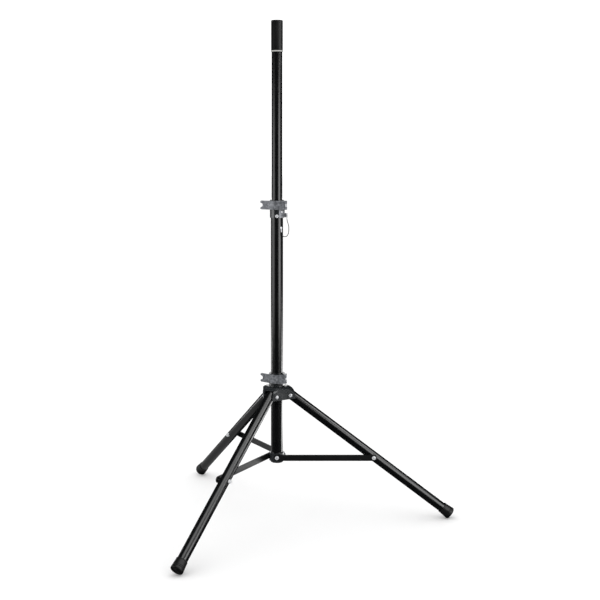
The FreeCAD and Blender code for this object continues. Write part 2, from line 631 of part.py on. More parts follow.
def build_lever(prefix, level):
    """Cam lever: knuckles on the pin, an arm round the front of the band and a forked tail."""
    low = level - size("lever_height") / 2
    inner = size("neck_radius") + size("lever_gap")
    outer = inner + size("lever_thick")
    wrap = size("lever_wrap")
    hinge_x = size("hinge_side")
    hinge_y = -size("hinge_front")

    knuckle = cylinder(prefix + "_knuckle", "2 * hinge_radius", "lever_height",
                       turned_to(UPRIGHT, hinge_x, hinge_y, low))
    cheek = box(prefix + "_cheek", "hinge_radius * 1.6",
                "neck_radius + lever_gap + lever_thick - hinge_front", "lever_height",
                turned_to(UPRIGHT, hinge_x - size("hinge_radius"), -outer, low))
    front = box(prefix + "_front", "hinge_side - hinge_radius / 2", "lever_thick", "lever_height",
                turned_to(UPRIGHT, 0, -outer, low))

    rim = cylinder(prefix + "_wrap_outer", "2 * (neck_radius + lever_gap + lever_thick)",
                   "lever_height",
                   turned_to(Rotation(Vector(0, 0, 1), -90 - wrap), z=low))
    bind(rim, Angle="lever_wrap")
    bore = cylinder(prefix + "_wrap_bore", "2 * (neck_radius + lever_gap)", "lever_height + 2 * over_cut",
                    turned_to(UPRIGHT, z=low - size("over_cut")))
    arc = cut(prefix + "_wrap", rim, bore)

    # The tail leaves the arc along its tangent.
    leave = Rotation(Vector(0, 0, 1), -90 - wrap)
    start = leave.multVec(Vector(outer, 0, 0))
    along = Rotation(Vector(0, 0, 1), 180 - wrap)
    tail = box(prefix + "_tail", "lever_tail", "lever_thick", "lever_height",
               turned_to(along.multiply(Rotation(Vector(1, 0, 0), 180)),
                         start.x, start.y, low + size("lever_height")))
    blank = fused(prefix + "_lever_blank", [knuckle, cheek, front, arc, tail])

    pin_bore = cylinder(prefix + "_pin_bore", "hinge_pin + 2 * running_gap", "lever_height + 2 * over_cut",
                        turned_to(UPRIGHT, hinge_x, hinge_y, low - size("over_cut")))
    eye_slot = cylinder(prefix + "_eye_slot", "3.4 * hinge_radius", "eye_height + 2 * free_gap",
                        turned_to(UPRIGHT, hinge_x, hinge_y,
                                  level - size("eye_height") / 2 - size("free_gap")))
    tip = start + along.multVec(Vector(size("lever_tail"), 0, 0))
    fork = cylinder(prefix + "_fork", "fork_dia", "6 * lever_thick",
                    turned_to(along.multiply(Z_TO_Y), tip.x, tip.y, level).multiply(
                        turned_to(UPRIGHT, z=-3 * size("lever_thick"))))
    tools = fused(prefix + "_lever_tools", [pin_bore, eye_slot, fork])
    subpart(prefix + "_lever", cut(prefix + "_lever", blank, tools))


# ---------------------------------------------------------------- safety pin and lanyard

def radial(degrees, level, rotation=Z_TO_X, reach=0.0):
    """A place whose Z points out from the mast at a given direction and height."""
    return about_mast(degrees).multiply(turned_to(rotation, reach, 0, level))


def build_collar_screw():
    """Socket screw that fixes the clamp collar to the outer tube, at the front."""
    place = radial(-90.0, size("screw_level"))
    head_face = size("clamp_sleeve") / 2
    shank_end = size("mast_dia") / 2 - size("tube_wall") + size("press_gap")
    head = cylinder("collar_screw_head", "screw_head", "screw_head_height",
                    place.multiply(turned_to(UPRIGHT, z=head_face)))
    shank = cylinder("collar_screw_shank", "screw_dia", "clamp_sleeve / 2 - mast_dia / 2 + tube_wall",
                     place.multiply(turned_to(UPRIGHT, z=shank_end)))
    socket = nut_blank("collar_screw_socket", "screw_socket", "screw_dia",
                       place.multiply(turned_to(UPRIGHT, z=head_face + size("socket_floor"))))
    solid = fused("collar_screw_solid", [head, shank])
    subpart("collar_screw", cut("collar_screw", solid, socket))


def build_pin_bracket():
    """Cast bracket on the collar that guides the safety pin, and its screw."""
    low = size("sleeve_bottom") + size("bracket_lift")
    plate = cylinder("bracket_plate", "clamp_sleeve + 2 * bracket_wall", "bracket_height",
                     about_mast(BRACKET_START).multiply(turned_to(UPRIGHT, z=low)))
    plate.Angle = BRACKET_SWEEP
    boss = cylinder("bracket_boss", "boss_dia", "pin_head_start - free_gap - mast_dia / 2",
                    radial(0.0, size("pin_level"), reach=size("mast_dia") / 2))
    inside = cylinder("bracket_inside", "clamp_sleeve", "2 * bracket_height",
                      turned_to(UPRIGHT, z=low - size("bracket_height") / 2))
    bore = cylinder("bracket_bore", "pin_dia + 2 * running_gap", "mast_dia",
                    radial(0.0, size("pin_level")))
    screw_place = radial(BRACKET_SCREW, size("bracket_screw_level"))
    hole = cylinder("bracket_hole", "small_screw", "mast_dia", screw_place)
    blank = fused("bracket_blank", [plate, boss])
    subpart("pin_bracket", cut("pin_bracket", blank, fused("bracket_tools", [inside, bore, hole])))

    face = size("clamp_sleeve") / 2 + size("bracket_wall")
    head = cylinder("bracket_screw_head", "small_head", "small_head_height",
                    screw_place.multiply(turned_to(UPRIGHT, z=face)))
    shank = cylinder("bracket_screw_shank", "small_screw", "clamp_sleeve / 2 - mast_dia / 2 + bracket_wall",
                     screw_place.multiply(turned_to(UPRIGHT, z=size("mast_dia") / 2 + size("press_gap"))))
    recess = nut_blank("bracket_screw_recess", "small_screw", "small_screw",
                       screw_place.multiply(turned_to(UPRIGHT, z=face + size("small_recess"))))
    subpart("bracket_screw", cut("bracket_screw",
                                 fused("bracket_screw_solid", [head, shank]), recess))


def build_safety_pin():
    """Safety pin with a disc head, standing just short of the extension tube."""
    tip = "pole_dia / 2 + pin_stand_off"
    body = turned("safety_pin", [
        ("0", tip),
        ("pin_dia / 2 - pin_point", tip),
        ("pin_dia / 2", tip + " + pin_point"),
        ("pin_dia / 2", "pin_head_start"),
        ("pin_head / 2", "pin_head_start"),
        ("pin_head / 2", "pin_head_start + pin_head_thick"),
        ("0", "pin_head_start + pin_head_thick"),
    ], radial(0.0, size("pin_level")))
    # Piece X is straight down here, so this hole opens in the lower side of the head.
    socket = circles(body, "YZ_Plane", "pin_head_socket",
                     [("0", "pin_head_start + pin_head_thick / 2", "ferrule_stem")],
                     offset="pin_head / 2 - ferrule_grip")
    pocket(body, socket, "pin_head", "One side", reverse=True)


# Bends of the hanging loop, measured from the anchor's lower end and from the pin's ferrule.
LOOP_FROM_ANCHOR = ((0, 0, -6.8), (4.27, -1.52, -13.2), (11.67, -0.52, -15.9), (20.67, 4.28, -12.2))
LOOP_TO_PIN = ((5.6, -6.8, -38.5), (5.7, -3.2, -24.0), (3.2, -0.8, -12.5), (0, 0, -6.0))


def build_lanyard():
    """Coated wire lanyard with its rivet and ferrules; it hangs in a loop beside the mast."""
    rivet_place = radial(RIVET_TURN, size("rivet_level"))
    tab_face = size("mast_dia") / 2 + size("tab_gap")
    turned("lanyard_rivet", [
        ("0", "mast_dia / 2 - tube_wall + press_gap"),
        ("rivet_dia / 2", "mast_dia / 2 - tube_wall + press_gap"),
        ("rivet_dia / 2", "mast_dia / 2 + tab_gap + tab_thick"),
        ("rivet_dia", "mast_dia / 2 + tab_gap + tab_thick"),
        ("rivet_dia * 0.6", "mast_dia / 2 + rivet_height"),
        ("0", "mast_dia / 2 + rivet_height"),
    ], rivet_place)
    tab = cylinder("anchor_tab", "rivet_dia * 2.2", "tab_thick",
                   rivet_place.multiply(turned_to(UPRIGHT, z=tab_face)))
    barrel_top = size("rivet_level") - size("rivet_dia") * 0.8
    barrel_reach = tab_face + size("ferrule_dia") / 2
    barrel_low = barrel_top - size("ferrule_length") - size("ferrule_grip")
    barrel = cylinder("anchor_barrel", "ferrule_dia", "ferrule_length + ferrule_grip",
                      radial(RIVET_TURN, barrel_low, UPRIGHT, barrel_reach))
    eye = cylinder("anchor_eye", "rivet_dia", "rivet_dia", rivet_place.multiply(
        turned_to(UPRIGHT, z=size("mast_dia") / 2)))
    head_room = cylinder("anchor_head_room", "2 * rivet_dia + 2 * press_gap", "2 * rivet_dia",
                         rivet_place.multiply(turned_to(UPRIGHT, z=tab_face + size("tab_thick"))))
    solid = fused("anchor_solid", [tab, barrel])
    subpart("lanyard_anchor", cut("lanyard_anchor", solid, fused("anchor_tools", [eye, head_room])))

    pin_x = size("pin_head_start") + size("pin_head_thick") / 2
    head_low = size("pin_level") - size("pin_head") / 2
    ferrule_low = head_low - size("ferrule_length") - size("ferrule_gap")
    upper = cylinder("pin_ferrule_stem", "ferrule_stem", "ferrule_grip + over_cut",
                     turned_to(UPRIGHT, pin_x, 0, head_low - size("over_cut")))
    lower = cylinder("pin_ferrule_barrel", "ferrule_dia", "ferrule_length",
                     turned_to(UPRIGHT, pin_x, 0, ferrule_low))
    subpart("lanyard_pin_ferrule", fused("lanyard_pin_ferrule", [upper, lower]))

    # The wire leaves the anchor downwards, swings out and rises into the ferrule from below.
    anchor = radial(RIVET_TURN, barrel_low, UPRIGHT, barrel_reach).Base
    top = Vector(pin_x, 0, ferrule_low - size("cord_gap"))
    route = [anchor]
    route += [anchor + Vector(*step) for step in LOOP_FROM_ANCHOR]
    route += [top + Vector(*step) for step in LOOP_TO_PIN]
    route.append(top)
    subpart("lanyard", cord_tube("lanyard", route, size("cord_dia")))


BEND_SHARE = 0.45       # part of the shorter run that a bend takes up at each side
VOLUME_ERROR = 0.01     # largest share by which a swept tube's volume may miss


def cord_tube(name, route, diameter):
    """A tube along straight runs joined by tangent arcs, each as large as its runs allow."""
    edges = []
    start = route[0]
    length = 0.0
    for before, corner, after in zip(route, route[1:], route[2:]):
        into = (corner - before).normalize()
        out = (after - corner).normalize()
        half_turn = into.getAngle(out) / 2
        reach = BEND_SHARE * min((corner - before).Length, (after - corner).Length)
        radius = reach / math.tan(half_turn)
        enter = corner - into * reach
        leave = corner + out * reach
        middle = corner + (out - into).normalize() * (radius / math.cos(half_turn) - radius)
        edges.append(Part.LineSegment(start, enter).toShape())
        edges.append(Part.Arc(enter, middle, leave).toShape())
        length += (enter - start).Length + radius * 2 * half_turn
        print(f"{name}: turn {math.degrees(2 * half_turn):5.1f} degrees, radius {radius:6.2f} mm, "
              f"{radius / diameter:5.1f} diameters")
        start = leave
    edges.append(Part.LineSegment(start, route[-1]).toShape())
    length += (route[-1] - start).Length
    path = Part.Wire(edges)
    section = Part.Wire(Part.Circle(route[0], (route[1] - route[0]).normalize(), diameter / 2).toShape())
    tube = path.makePipeShell([section], True, True)
    expected = length * math.pi * diameter * diameter / 4
    print(f"{name}: length {length:.1f} mm, volume {tube.Volume:.1f} against {expected:.1f} mm3")
    if abs(tube.Volume - expected) > VOLUME_ERROR * expected:
        raise RuntimeError(f"{name}: the tube's volume is wrong")
    piece = doc.addObject("Part::Feature", name)
    piece.Shape = tube
    piece.Placement = Placement()
    return piece


# ---------------------------------------------------------------- extension

PIN_HOLES = (1, 0, -1, -2, -3, -4)     # steps from the hole that stands at the safety pin


def build_extension():
    """Inner tube with its pin holes, guide bush, plugs, stop ring and adapter sleeve."""
    tube = turned("extension_tube", [
        ("pole_dia / 2 - tube_wall", "pole_bottom"),
        ("pole_dia / 2", "pole_bottom"),
        ("pole_dia / 2", "pole_top"),
        ("pole_dia / 2 - tube_wall", "pole_top"),
    ])
    rings = [("0", f"pin_level + {step} * hole_pitch", "pin_dia + hole_room")
             for step in PIN_HOLES]
    pocket(tube, circles(tube, "YZ_Plane", "pole_pin_holes", rings), "2 * pole_dia")

    # The bush is a split ring that slides in the outer tube while the extension turns in it.
    turned("extension_guide_bush", [
        ("pole_dia / 2 + running_gap", "pole_bottom + bush_lift"),
        ("mast_dia / 2 - tube_wall - running_gap", "pole_bottom + bush_lift"),
        ("mast_dia / 2 - tube_wall - running_gap", "pole_bottom + bush_lift + bush_height"),
        ("pole_dia / 2 + running_gap", "pole_bottom + bush_lift + bush_height"),
    ])
    turned("extension_end_plug", [
        ("0", "pole_bottom - end_plug_cap"),
        ("pole_dia / 2 + end_plug_lip", "pole_bottom - end_plug_cap"),
        ("pole_dia / 2 + end_plug_lip", "pole_bottom"),
        ("pole_dia / 2 - tube_wall", "pole_bottom"),
        ("pole_dia / 2 - tube_wall", "pole_bottom + end_plug_grip"),
        ("0", "pole_bottom + end_plug_grip"),
    ])
    turned("extension_top_plug", [
        ("0", "pole_top - top_plug_grip"),
        ("pole_dia / 2 - tube_wall", "pole_top - top_plug_grip"),
        ("pole_dia / 2 - tube_wall", "pole_top"),
        ("0", "pole_top"),
    ])
    turned("adapter_stop_ring", [
        ("pole_dia / 2", "ring_top - ring_height"),
        ("ring_dia / 2", "ring_top - ring_height"),
        ("ring_dia / 2", "ring_top"),
        ("pole_dia / 2", "ring_top"),
    ])
    sleeve = turned("adapter_sleeve", [
        ("pole_dia / 2 + running_gap", "ring_top + sleeve_float"),
        ("sleeve_dia / 2", "ring_top + sleeve_float"),
        ("sleeve_dia / 2", "pole_top + sleeve_cap + sleeve_float"),
        ("0", "pole_top + sleeve_cap + sleeve_float"),
        ("0", "pole_top + sleeve_float"),
        ("pole_dia / 2 + running_gap", "pole_top + sleeve_float"),
    ])
    top = size("pole_top") + size("sleeve_cap") + size("sleeve_float")
    soften(sleeve, "sleeve_cap / 2", size("sleeve_dia") / 2, top)


# ---------------------------------------------------------------- hub

def build_hub():
    """Cast hub: a dome with three flat web faces, a slot for each leg and a clamp neck."""
    bore = "mast_dia / 2 + running_gap + liner_wall"
    body = turned("hub_casting", [
        (bore, "hub_bottom"),
        ("hub_radius", "hub_bottom"),
        ("hub_radius", "hub_shoulder"),
        ("neck_radius", "hub_shoulder"),
        ("neck_radius", "neck_top"),
        ("mast_dia / 2 + running_gap", "neck_top"),
        ("mast_dia / 2 + running_gap", "neck_low"),
        (bore, "neck_low"),
    ])
    soften(body, "dome_radius", size("hub_radius"), size("hub_shoulder"))

    # Web faces look out between the legs, at 60, 180 and 300 degrees.
    face = outline(body, "YZ_Plane", "web_face", [
        ("-2 * hub_radius", "hub_bottom - over_cut"),
        ("2 * hub_radius", "hub_bottom - over_cut"),
        ("2 * hub_radius", "hub_shoulder"),
        ("-2 * hub_radius", "hub_shoulder"),
    ], offset="-hub_flat")
    three_times(body, pocket(body, face, "hub_radius", "One side"))

    # Under the dome's skin each leg has a slot, open beyond the pivot so that the leg folds down.
    slot = outline(body, "XZ_Plane", "leg_slot", [
        ("hub_reach - leg_dia / 2 - slot_room", "hub_bottom - over_cut"),
        ("2 * hub_radius", "hub_bottom - over_cut"),
        ("2 * hub_radius", "hub_shoulder + over_cut"),
        ("hub_reach + roof_start", "hub_shoulder + over_cut"),
        ("hub_reach + roof_start", "hub_height + leg_dia / 2 + roof_low"),
        ("hub_reach + roof_bend", "hub_height + leg_dia / 2 + roof_middle"),
        ("hub_reach - roof_end", "hub_height + leg_dia / 2 + roof_high"),
        ("hub_reach - leg_dia / 2 - slot_room", "hub_height + leg_dia / 2 + roof_high"),
    ])
    three_times(body, pocket(body, slot, "leg_dia + 2 * free_gap"))

    # Hollows behind the web faces, open below.
    hollow = outline(body, "XY_Plane", "web_hollow", [
        ("-mast_dia / 2 - hollow_start", "-hollow_narrow / 2"),
        ("-mast_dia / 2 - hollow_start", "hollow_narrow / 2"),
        ("-hub_flat + web_wall", "hub_flat / 2 - hollow_margin"),
        ("-hub_flat + web_wall", "-hub_flat / 2 + hollow_margin"),
    ], offset="hub_bottom - over_cut")
    three_times(body, pocket(body, hollow, "hub_shoulder - hub_bottom - hollow_roof", "One side",
                             reverse=True))

    bolt_hole = circles(body, "XZ_Plane", "pivot_hole", [("hub_reach", "hub_height", "bolt_dia")])
    three_times(body, pocket(body, bolt_hole, "4 * leg_dia"))
    for side, word in ((1, "near"), (-1, "far")):
        seat = circles(body, "XZ_Plane", f"{word}_bolt_seat",
                       [("hub_reach", "hub_height", "head_dia + seat_room")],
                       offset=f"{side} * bolt_seat")
        three_times(body, pocket(body, seat, "leg_dia", "One side", reverse=side > 0))

    # The neck is slit above the dome and carries the ears of the hub's clamp.
    slit = slit_outline(body, "neck_slit", "neck_low")
    pocket(body, slit, "neck_top - hub_shoulder", "One side", reverse=True)
    add_ears(body, "neck", "neck_radius - ear_root", "hub_clamp")


def build_hub_fasteners():
    """Bolts and nuts of the leg pivots, three alike."""
    seat = size("bolt_seat")
    bolts = []
    nuts = []
    for number in LEGS:
        across = about_mast(leg_azimuth(number)).multiply(
            turned_to(Z_TO_Y, size("hub_reach"), 0, size("hub_height")))
        head = cylinder(f"pivot_head_{number}", "head_dia", "head_height",
                        across.multiply(turned_to(UPRIGHT, z=-seat - size("head_height"))))
        shank = cylinder(f"pivot_shank_{number}", "bolt_dia",
                         "2 * bolt_seat + head_height / 2 + nut_height + thread_end",
                         across.multiply(turned_to(UPRIGHT, z=-seat - size("head_height") / 2)))
        socket = nut_blank(f"pivot_socket_{number}", "head_dia / 2", "head_height / 2",
                           across.multiply(turned_to(UPRIGHT, z=-seat - size("head_height"))))
        bolts.append(cut(f"pivot_bolt_{number}",
                         fused(f"pivot_bolt_solid_{number}", [head, shank]), socket))
        nut = nut_blank(f"pivot_nut_blank_{number}", "head_dia", "nut_height",
                        across.multiply(turned_to(UPRIGHT, z=seat)))
        thread = cylinder(f"pivot_nut_thread_{number}", "bolt_dia", "3 * nut_height",
                          across.multiply(turned_to(UPRIGHT, z=seat - size("nut_height"))))
        nuts.append(cut(f"pivot_nut_{number}", nut, thread))
    subpart("leg_pivot_bolts", group("leg_pivot_bolts", bolts))
    subpart("leg_pivot_nuts", group("leg_pivot_nuts", nuts))


def build_hub_liner():
    """Nylon liner between the hub and the outer tube."""
    turned("hub_liner", [
        ("mast_dia / 2 + running_gap", "hub_bottom"),
        ("mast_dia / 2 + running_gap + liner_wall", "hub_bottom"),
        ("mast_dia / 2 + running_gap + liner_wall", "neck_low"),
        ("mast_dia / 2 + running_gap", "neck_low"),
    ])


# ---------------------------------------------------------------- legs and braces

def build_leg(number):
    """Leg tube, its upper plug, rubber foot and the fixed half of the brace pivot."""
    frame = leg_frame(number)
    along = frame.multiply(turned_to(Z_TO_X))
    tube_end = f"{LEG_LENGTH} - foot_cap"
    tube = turned(f"leg_tube_{number}", [
        ("leg_dia / 2 - tube_wall", "-leg_overrun"),
        ("leg_dia / 2", "-leg_overrun"),
        ("leg_dia / 2", tube_end),
        ("leg_dia / 2 - tube_wall", tube_end),
    ], along)
    holes = circles(tube, "XZ_Plane", f"leg_holes_{number}", [
        ("0", "0", "bolt_dia + free_gap"),
        ("0", f"{LEG_HOLE}", "bolt_dia"),
    ])
    pocket(tube, holes, "2 * leg_dia")

    plug = turned(f"leg_plug_{number}", [
        ("0", "-leg_overrun"),
        ("leg_dia / 2 - tube_wall", "-leg_overrun"),
        ("leg_dia / 2 - tube_wall", "plug_length - leg_overrun"),
        ("0", "plug_length - leg_overrun"),
    ], along)
    bore = circles(plug, "XZ_Plane", f"plug_bore_{number}", [("0", "0", "bolt_dia + 2 * running_gap")])
    pocket(plug, bore, "2 * leg_dia")

    foot = turned(f"foot_{number}", [
        ("0", f"{LEG_LENGTH}"),
        ("foot_end / 2", f"{LEG_LENGTH}"),
        ("foot_mouth / 2", f"{LEG_LENGTH} - foot_length"),
        ("leg_dia / 2", f"{LEG_LENGTH} - foot_length"),
        ("leg_dia / 2", tube_end),
        ("0", tube_end),
    ], along)
    soften(foot, "foot_round", size("foot_end") / 2, LEG_LENGTH)

    across = frame.multiply(turned_to(Z_TO_Y, LEG_HOLE))
    spacer_face = -(size("collar_flat") - size("free_gap") / 2)
    spacer_blank = cylinder(f"brace_spacer_blank_{number}", "head_dia + 2 * spacer_step",
                            "collar_flat - free_gap / 2 - leg_dia / 4",
                            across.multiply(turned_to(UPRIGHT, z=spacer_face)))
    saddle = cylinder(f"brace_spacer_saddle_{number}", "leg_dia", "4 * head_dia",
                      along.multiply(turned_to(UPRIGHT, z=LEG_HOLE - 2 * size("head_dia"))))
    spacer_hole = cylinder(f"brace_spacer_hole_{number}", "bolt_dia", "leg_dia",
                           across.multiply(turned_to(UPRIGHT, z=spacer_face - size("over_cut"))))
    spacer = cut(f"brace_spacer_{number}", spacer_blank,
                 fused(f"brace_spacer_tools_{number}", [saddle, spacer_hole]))
    subpart(f"brace_spacer_{number}", spacer)

    nut_face = size("leg_dia") / 2
    stud = cylinder(f"brace_stud_{number}", "bolt_dia",
                    "collar_flat - free_gap / 2 + leg_dia / 2 + nut_height + thread_end",
                    across.multiply(turned_to(UPRIGHT, z=spacer_face)))
    subpart(f"brace_stud_{number}", stud)
    nut = nut_blank(f"brace_nut_blank_{number}", "head_dia", "nut_height",
                    across.multiply(turned_to(UPRIGHT, z=nut_face)))
    thread = cylinder(f"brace_nut_thread_{number}", "bolt_dia", "3 * nut_height",
                      across.multiply(turned_to(UPRIGHT, z=nut_face - size("nut_height"))))
    subpart(f"brace_nut_{number}", cut(f"brace_nut_{number}", nut, thread))


def build_brace(number):
    """Flat bar with round ends, and the bolt head on its outer face at the leg."""
    body = new_body(f"brace_{number}")
    body.Placement = brace_frame(number)
    sketch = new_sketch(body, "XZ_Plane", f"brace_outline_{number}",
                        "collar_flat + free_gap / 2")
    far = 10 * SEED
    radius = SEED
    sketch.addGeometry(Part.ArcOfCircle(Part.Circle(Vector(), Vector(0, 0, 1), radius),
                                        math.pi / 2, 3 * math.pi / 2), False)
    sketch.addGeometry(Part.LineSegment(Vector(0, -radius, 0), Vector(far, -radius, 0)), False)
    sketch.addGeometry(Part.ArcOfCircle(Part.Circle(Vector(far, 0, 0), Vector(0, 0, 1), radius),
                                        -math.pi / 2, math.pi / 2), False)
    sketch.addGeometry(Part.LineSegment(Vector(far, radius, 0), Vector(0, radius, 0)), False)
    for first, end, second, start in ((0, 2, 1, 1), (1, 2, 2, 1), (2, 2, 3, 1), (3, 2, 0, 1)):
        sketch.addConstraint(Sketcher.Constraint("Tangent", first, end, second, start))
    sketch.addConstraint(Sketcher.Constraint("Coincident", 0, 3, -1, 1))
    sketch.addConstraint(Sketcher.Constraint("PointOnObject", 2, 3, -1))
    length = sketch.addConstraint(Sketcher.Constraint("DistanceX", -1, 1, 2, 3, far))
    sketch.setExpression(f"Constraints[{length}]", formula("brace_length"))
    half = sketch.addConstraint(Sketcher.Constraint("Radius", 0, radius))
    sketch.setExpression(f"Constraints[{half}]", formula("brace_height / 2"))
    sketch.addConstraint(Sketcher.Constraint("Horizontal", 1))
    pad(body, sketch, "brace_thick")
    holes = circles(body, "XZ_Plane", f"brace_holes_{number}", [
        ("0", "0", "bolt_dia + 2 * running_gap"),
        ("brace_length", "0", "bolt_dia"),
    ])
    pocket(body, holes, "4 * collar_flat")

    across = brace_frame(number).multiply(turned_to(Z_TO_Y.inverted(), size("brace_length")))
    inner_face = size("collar_flat") + size("free_gap") / 2
    outer_face = inner_face + size("brace_thick")
    head = cylinder(f"brace_bolt_flange_{number}", "head_dia", "head_height",
                    across.multiply(turned_to(UPRIGHT, z=outer_face)))
    stub = cylinder(f"brace_bolt_stub_{number}", "bolt_dia", "brace_thick + over_cut",
                    across.multiply(turned_to(UPRIGHT, z=inner_face)))
    socket = nut_blank(f"brace_bolt_socket_{number}", "head_dia / 2", "head_height",
                       across.multiply(turned_to(UPRIGHT, z=outer_face + size("head_height") / 2)))
    bolt = cut(f"brace_bolt_{number}", fused(f"brace_bolt_solid_{number}", [head, stub]), socket)
    subpart(f"brace_bolt_{number}", bolt)


# ---------------------------------------------------------------- build, check and write

build_outer_tube()
build_mast_end_plug()
build_bottom_collar()
build_brace_screws()
build_upper_collar()
build_upper_band()
build_clamp_hardware("upper_clamp", size("clamp_level"))
build_lever("upper_clamp", size("clamp_level"))
build_collar_screw()
build_pin_bracket()
build_safety_pin()
build_lanyard()
build_extension()
build_hub()
build_hub_liner()
build_hub_fasteners()
build_clamp_hardware("hub_clamp", size("hub_clamp"))
build_lever("hub_clamp", size("hub_clamp"))
for leg in LEGS:
    build_leg(leg)
    build_brace(leg)
doc.recompute()


def check_document():
    """Stop before anything is written if an object failed or a cut removed nothing."""
    for item in doc.Objects:
        bad = [word for word in item.State if word in ("Invalid", "Error")]
        if bad:
            raise RuntimeError(f"{item.Label}: {bad}")
        if item.TypeId == "PartDesign::Pocket" and item.BaseFeature.Shape.Volume - item.Shape.Volume < 1.0:
            raise RuntimeError(f"{item.Label} cuts nothing")
    for item in subparts:
        if item.Shape.isNull() or not item.Shape.isValid() or not item.Shape.Solids:
            raise RuntimeError(f"{item.Label} has no valid solid")


check_document()
os.makedirs("parts", exist_ok=True)
for item in subparts:
    item.Shape.exportStep(f"parts/{item.Label}.step")
    bounds = item.Shape.BoundBox
    print(f"{item.Label:24s} solids {len(item.Shape.Solids)}  volume {item.Shape.Volume:10.1f}  "
          f"z {bounds.ZMin:8.2f} to {bounds.ZMax:8.2f}")
print(len(subparts), "sub-parts")
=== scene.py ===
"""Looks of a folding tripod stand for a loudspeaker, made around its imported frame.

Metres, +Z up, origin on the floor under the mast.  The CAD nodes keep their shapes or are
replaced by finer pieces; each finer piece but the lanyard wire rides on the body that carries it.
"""

import json
import logging
import math
from dataclasses import dataclass, field
from enum import Enum
from typing import Iterable, Sequence

import bmesh
import bpy
from mathutils import Matrix, Vector


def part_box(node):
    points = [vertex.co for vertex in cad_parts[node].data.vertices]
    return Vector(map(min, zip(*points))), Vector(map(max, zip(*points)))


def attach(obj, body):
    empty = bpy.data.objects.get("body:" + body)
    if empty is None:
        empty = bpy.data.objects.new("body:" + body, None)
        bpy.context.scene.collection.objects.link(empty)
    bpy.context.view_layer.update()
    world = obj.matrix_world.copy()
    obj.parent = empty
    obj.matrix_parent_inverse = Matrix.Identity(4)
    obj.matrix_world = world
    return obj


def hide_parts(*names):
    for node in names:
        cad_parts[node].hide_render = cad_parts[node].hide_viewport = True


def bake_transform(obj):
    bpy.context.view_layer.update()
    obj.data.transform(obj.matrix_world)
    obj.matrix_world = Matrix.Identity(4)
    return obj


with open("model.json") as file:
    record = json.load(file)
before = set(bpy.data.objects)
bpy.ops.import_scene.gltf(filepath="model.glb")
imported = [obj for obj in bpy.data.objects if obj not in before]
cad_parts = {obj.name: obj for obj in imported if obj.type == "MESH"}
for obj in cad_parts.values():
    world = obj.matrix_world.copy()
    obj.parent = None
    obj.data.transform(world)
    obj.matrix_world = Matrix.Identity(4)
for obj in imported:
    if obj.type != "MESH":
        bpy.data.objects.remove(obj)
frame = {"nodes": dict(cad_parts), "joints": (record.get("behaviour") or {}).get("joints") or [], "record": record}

LOG = logging.getLogger("speaker_stand")
MM = 0.001
LEGS = (1, 2, 3)
LEG_STEP = math.radians(120)
Z_UP = Vector((0, 0, 1))

Colour = tuple[float, float, float]
Profile = Sequence[tuple[float, float]]

CREASE = math.radians(32)
MERGE = 0.001 * MM


# -------- shader maths

class Signal:
    """A shader socket that takes part in arithmetic; each operator adds its node."""

    def __init__(self, graph: "Graph", socket: bpy.types.NodeSocket) -> None:
        """Keep the socket and the graph that it belongs to."""
        self.graph = graph
        self.socket = socket

    def _join(self, operation: str, first: object, second: object) -> "Signal":
        """One Math node.

        Args:
            operation: Blender's name of the operation.
            first: a Signal or a number.
            second: a Signal or a number.

        Returns:
            The node's result.
        """
        return self.graph.node("ShaderNodeMath", {"operation": operation}, {0: first, 1: second})

    def __add__(self, other: object) -> "Signal":
        """Sum."""
        return self._join("ADD", self, other)

    def __sub__(self, other: object) -> "Signal":
        """Difference."""
        return self._join("SUBTRACT", self, other)

    def __rsub__(self, other: object) -> "Signal":
        """Difference with this value taken away."""
        return self._join("SUBTRACT", other, self)

    def __mul__(self, other: object) -> "Signal":
        """Product."""
        return self._join("MULTIPLY", self, other)

    def between(self, low: float, high: float) -> "Signal":
        """This value mapped so that low gives 0 and high gives 1, held at both ends.

        Args:
            low: value that becomes 0.
            high: value that becomes 1.

        Returns:
            A smooth step from 0 to 1.
        """
        settings = {"interpolation_type": "SMOOTHSTEP"}
        inputs = {"Value": self, "From Min": low, "From Max": high}
        return self.graph.node("ShaderNodeMapRange", settings, inputs)


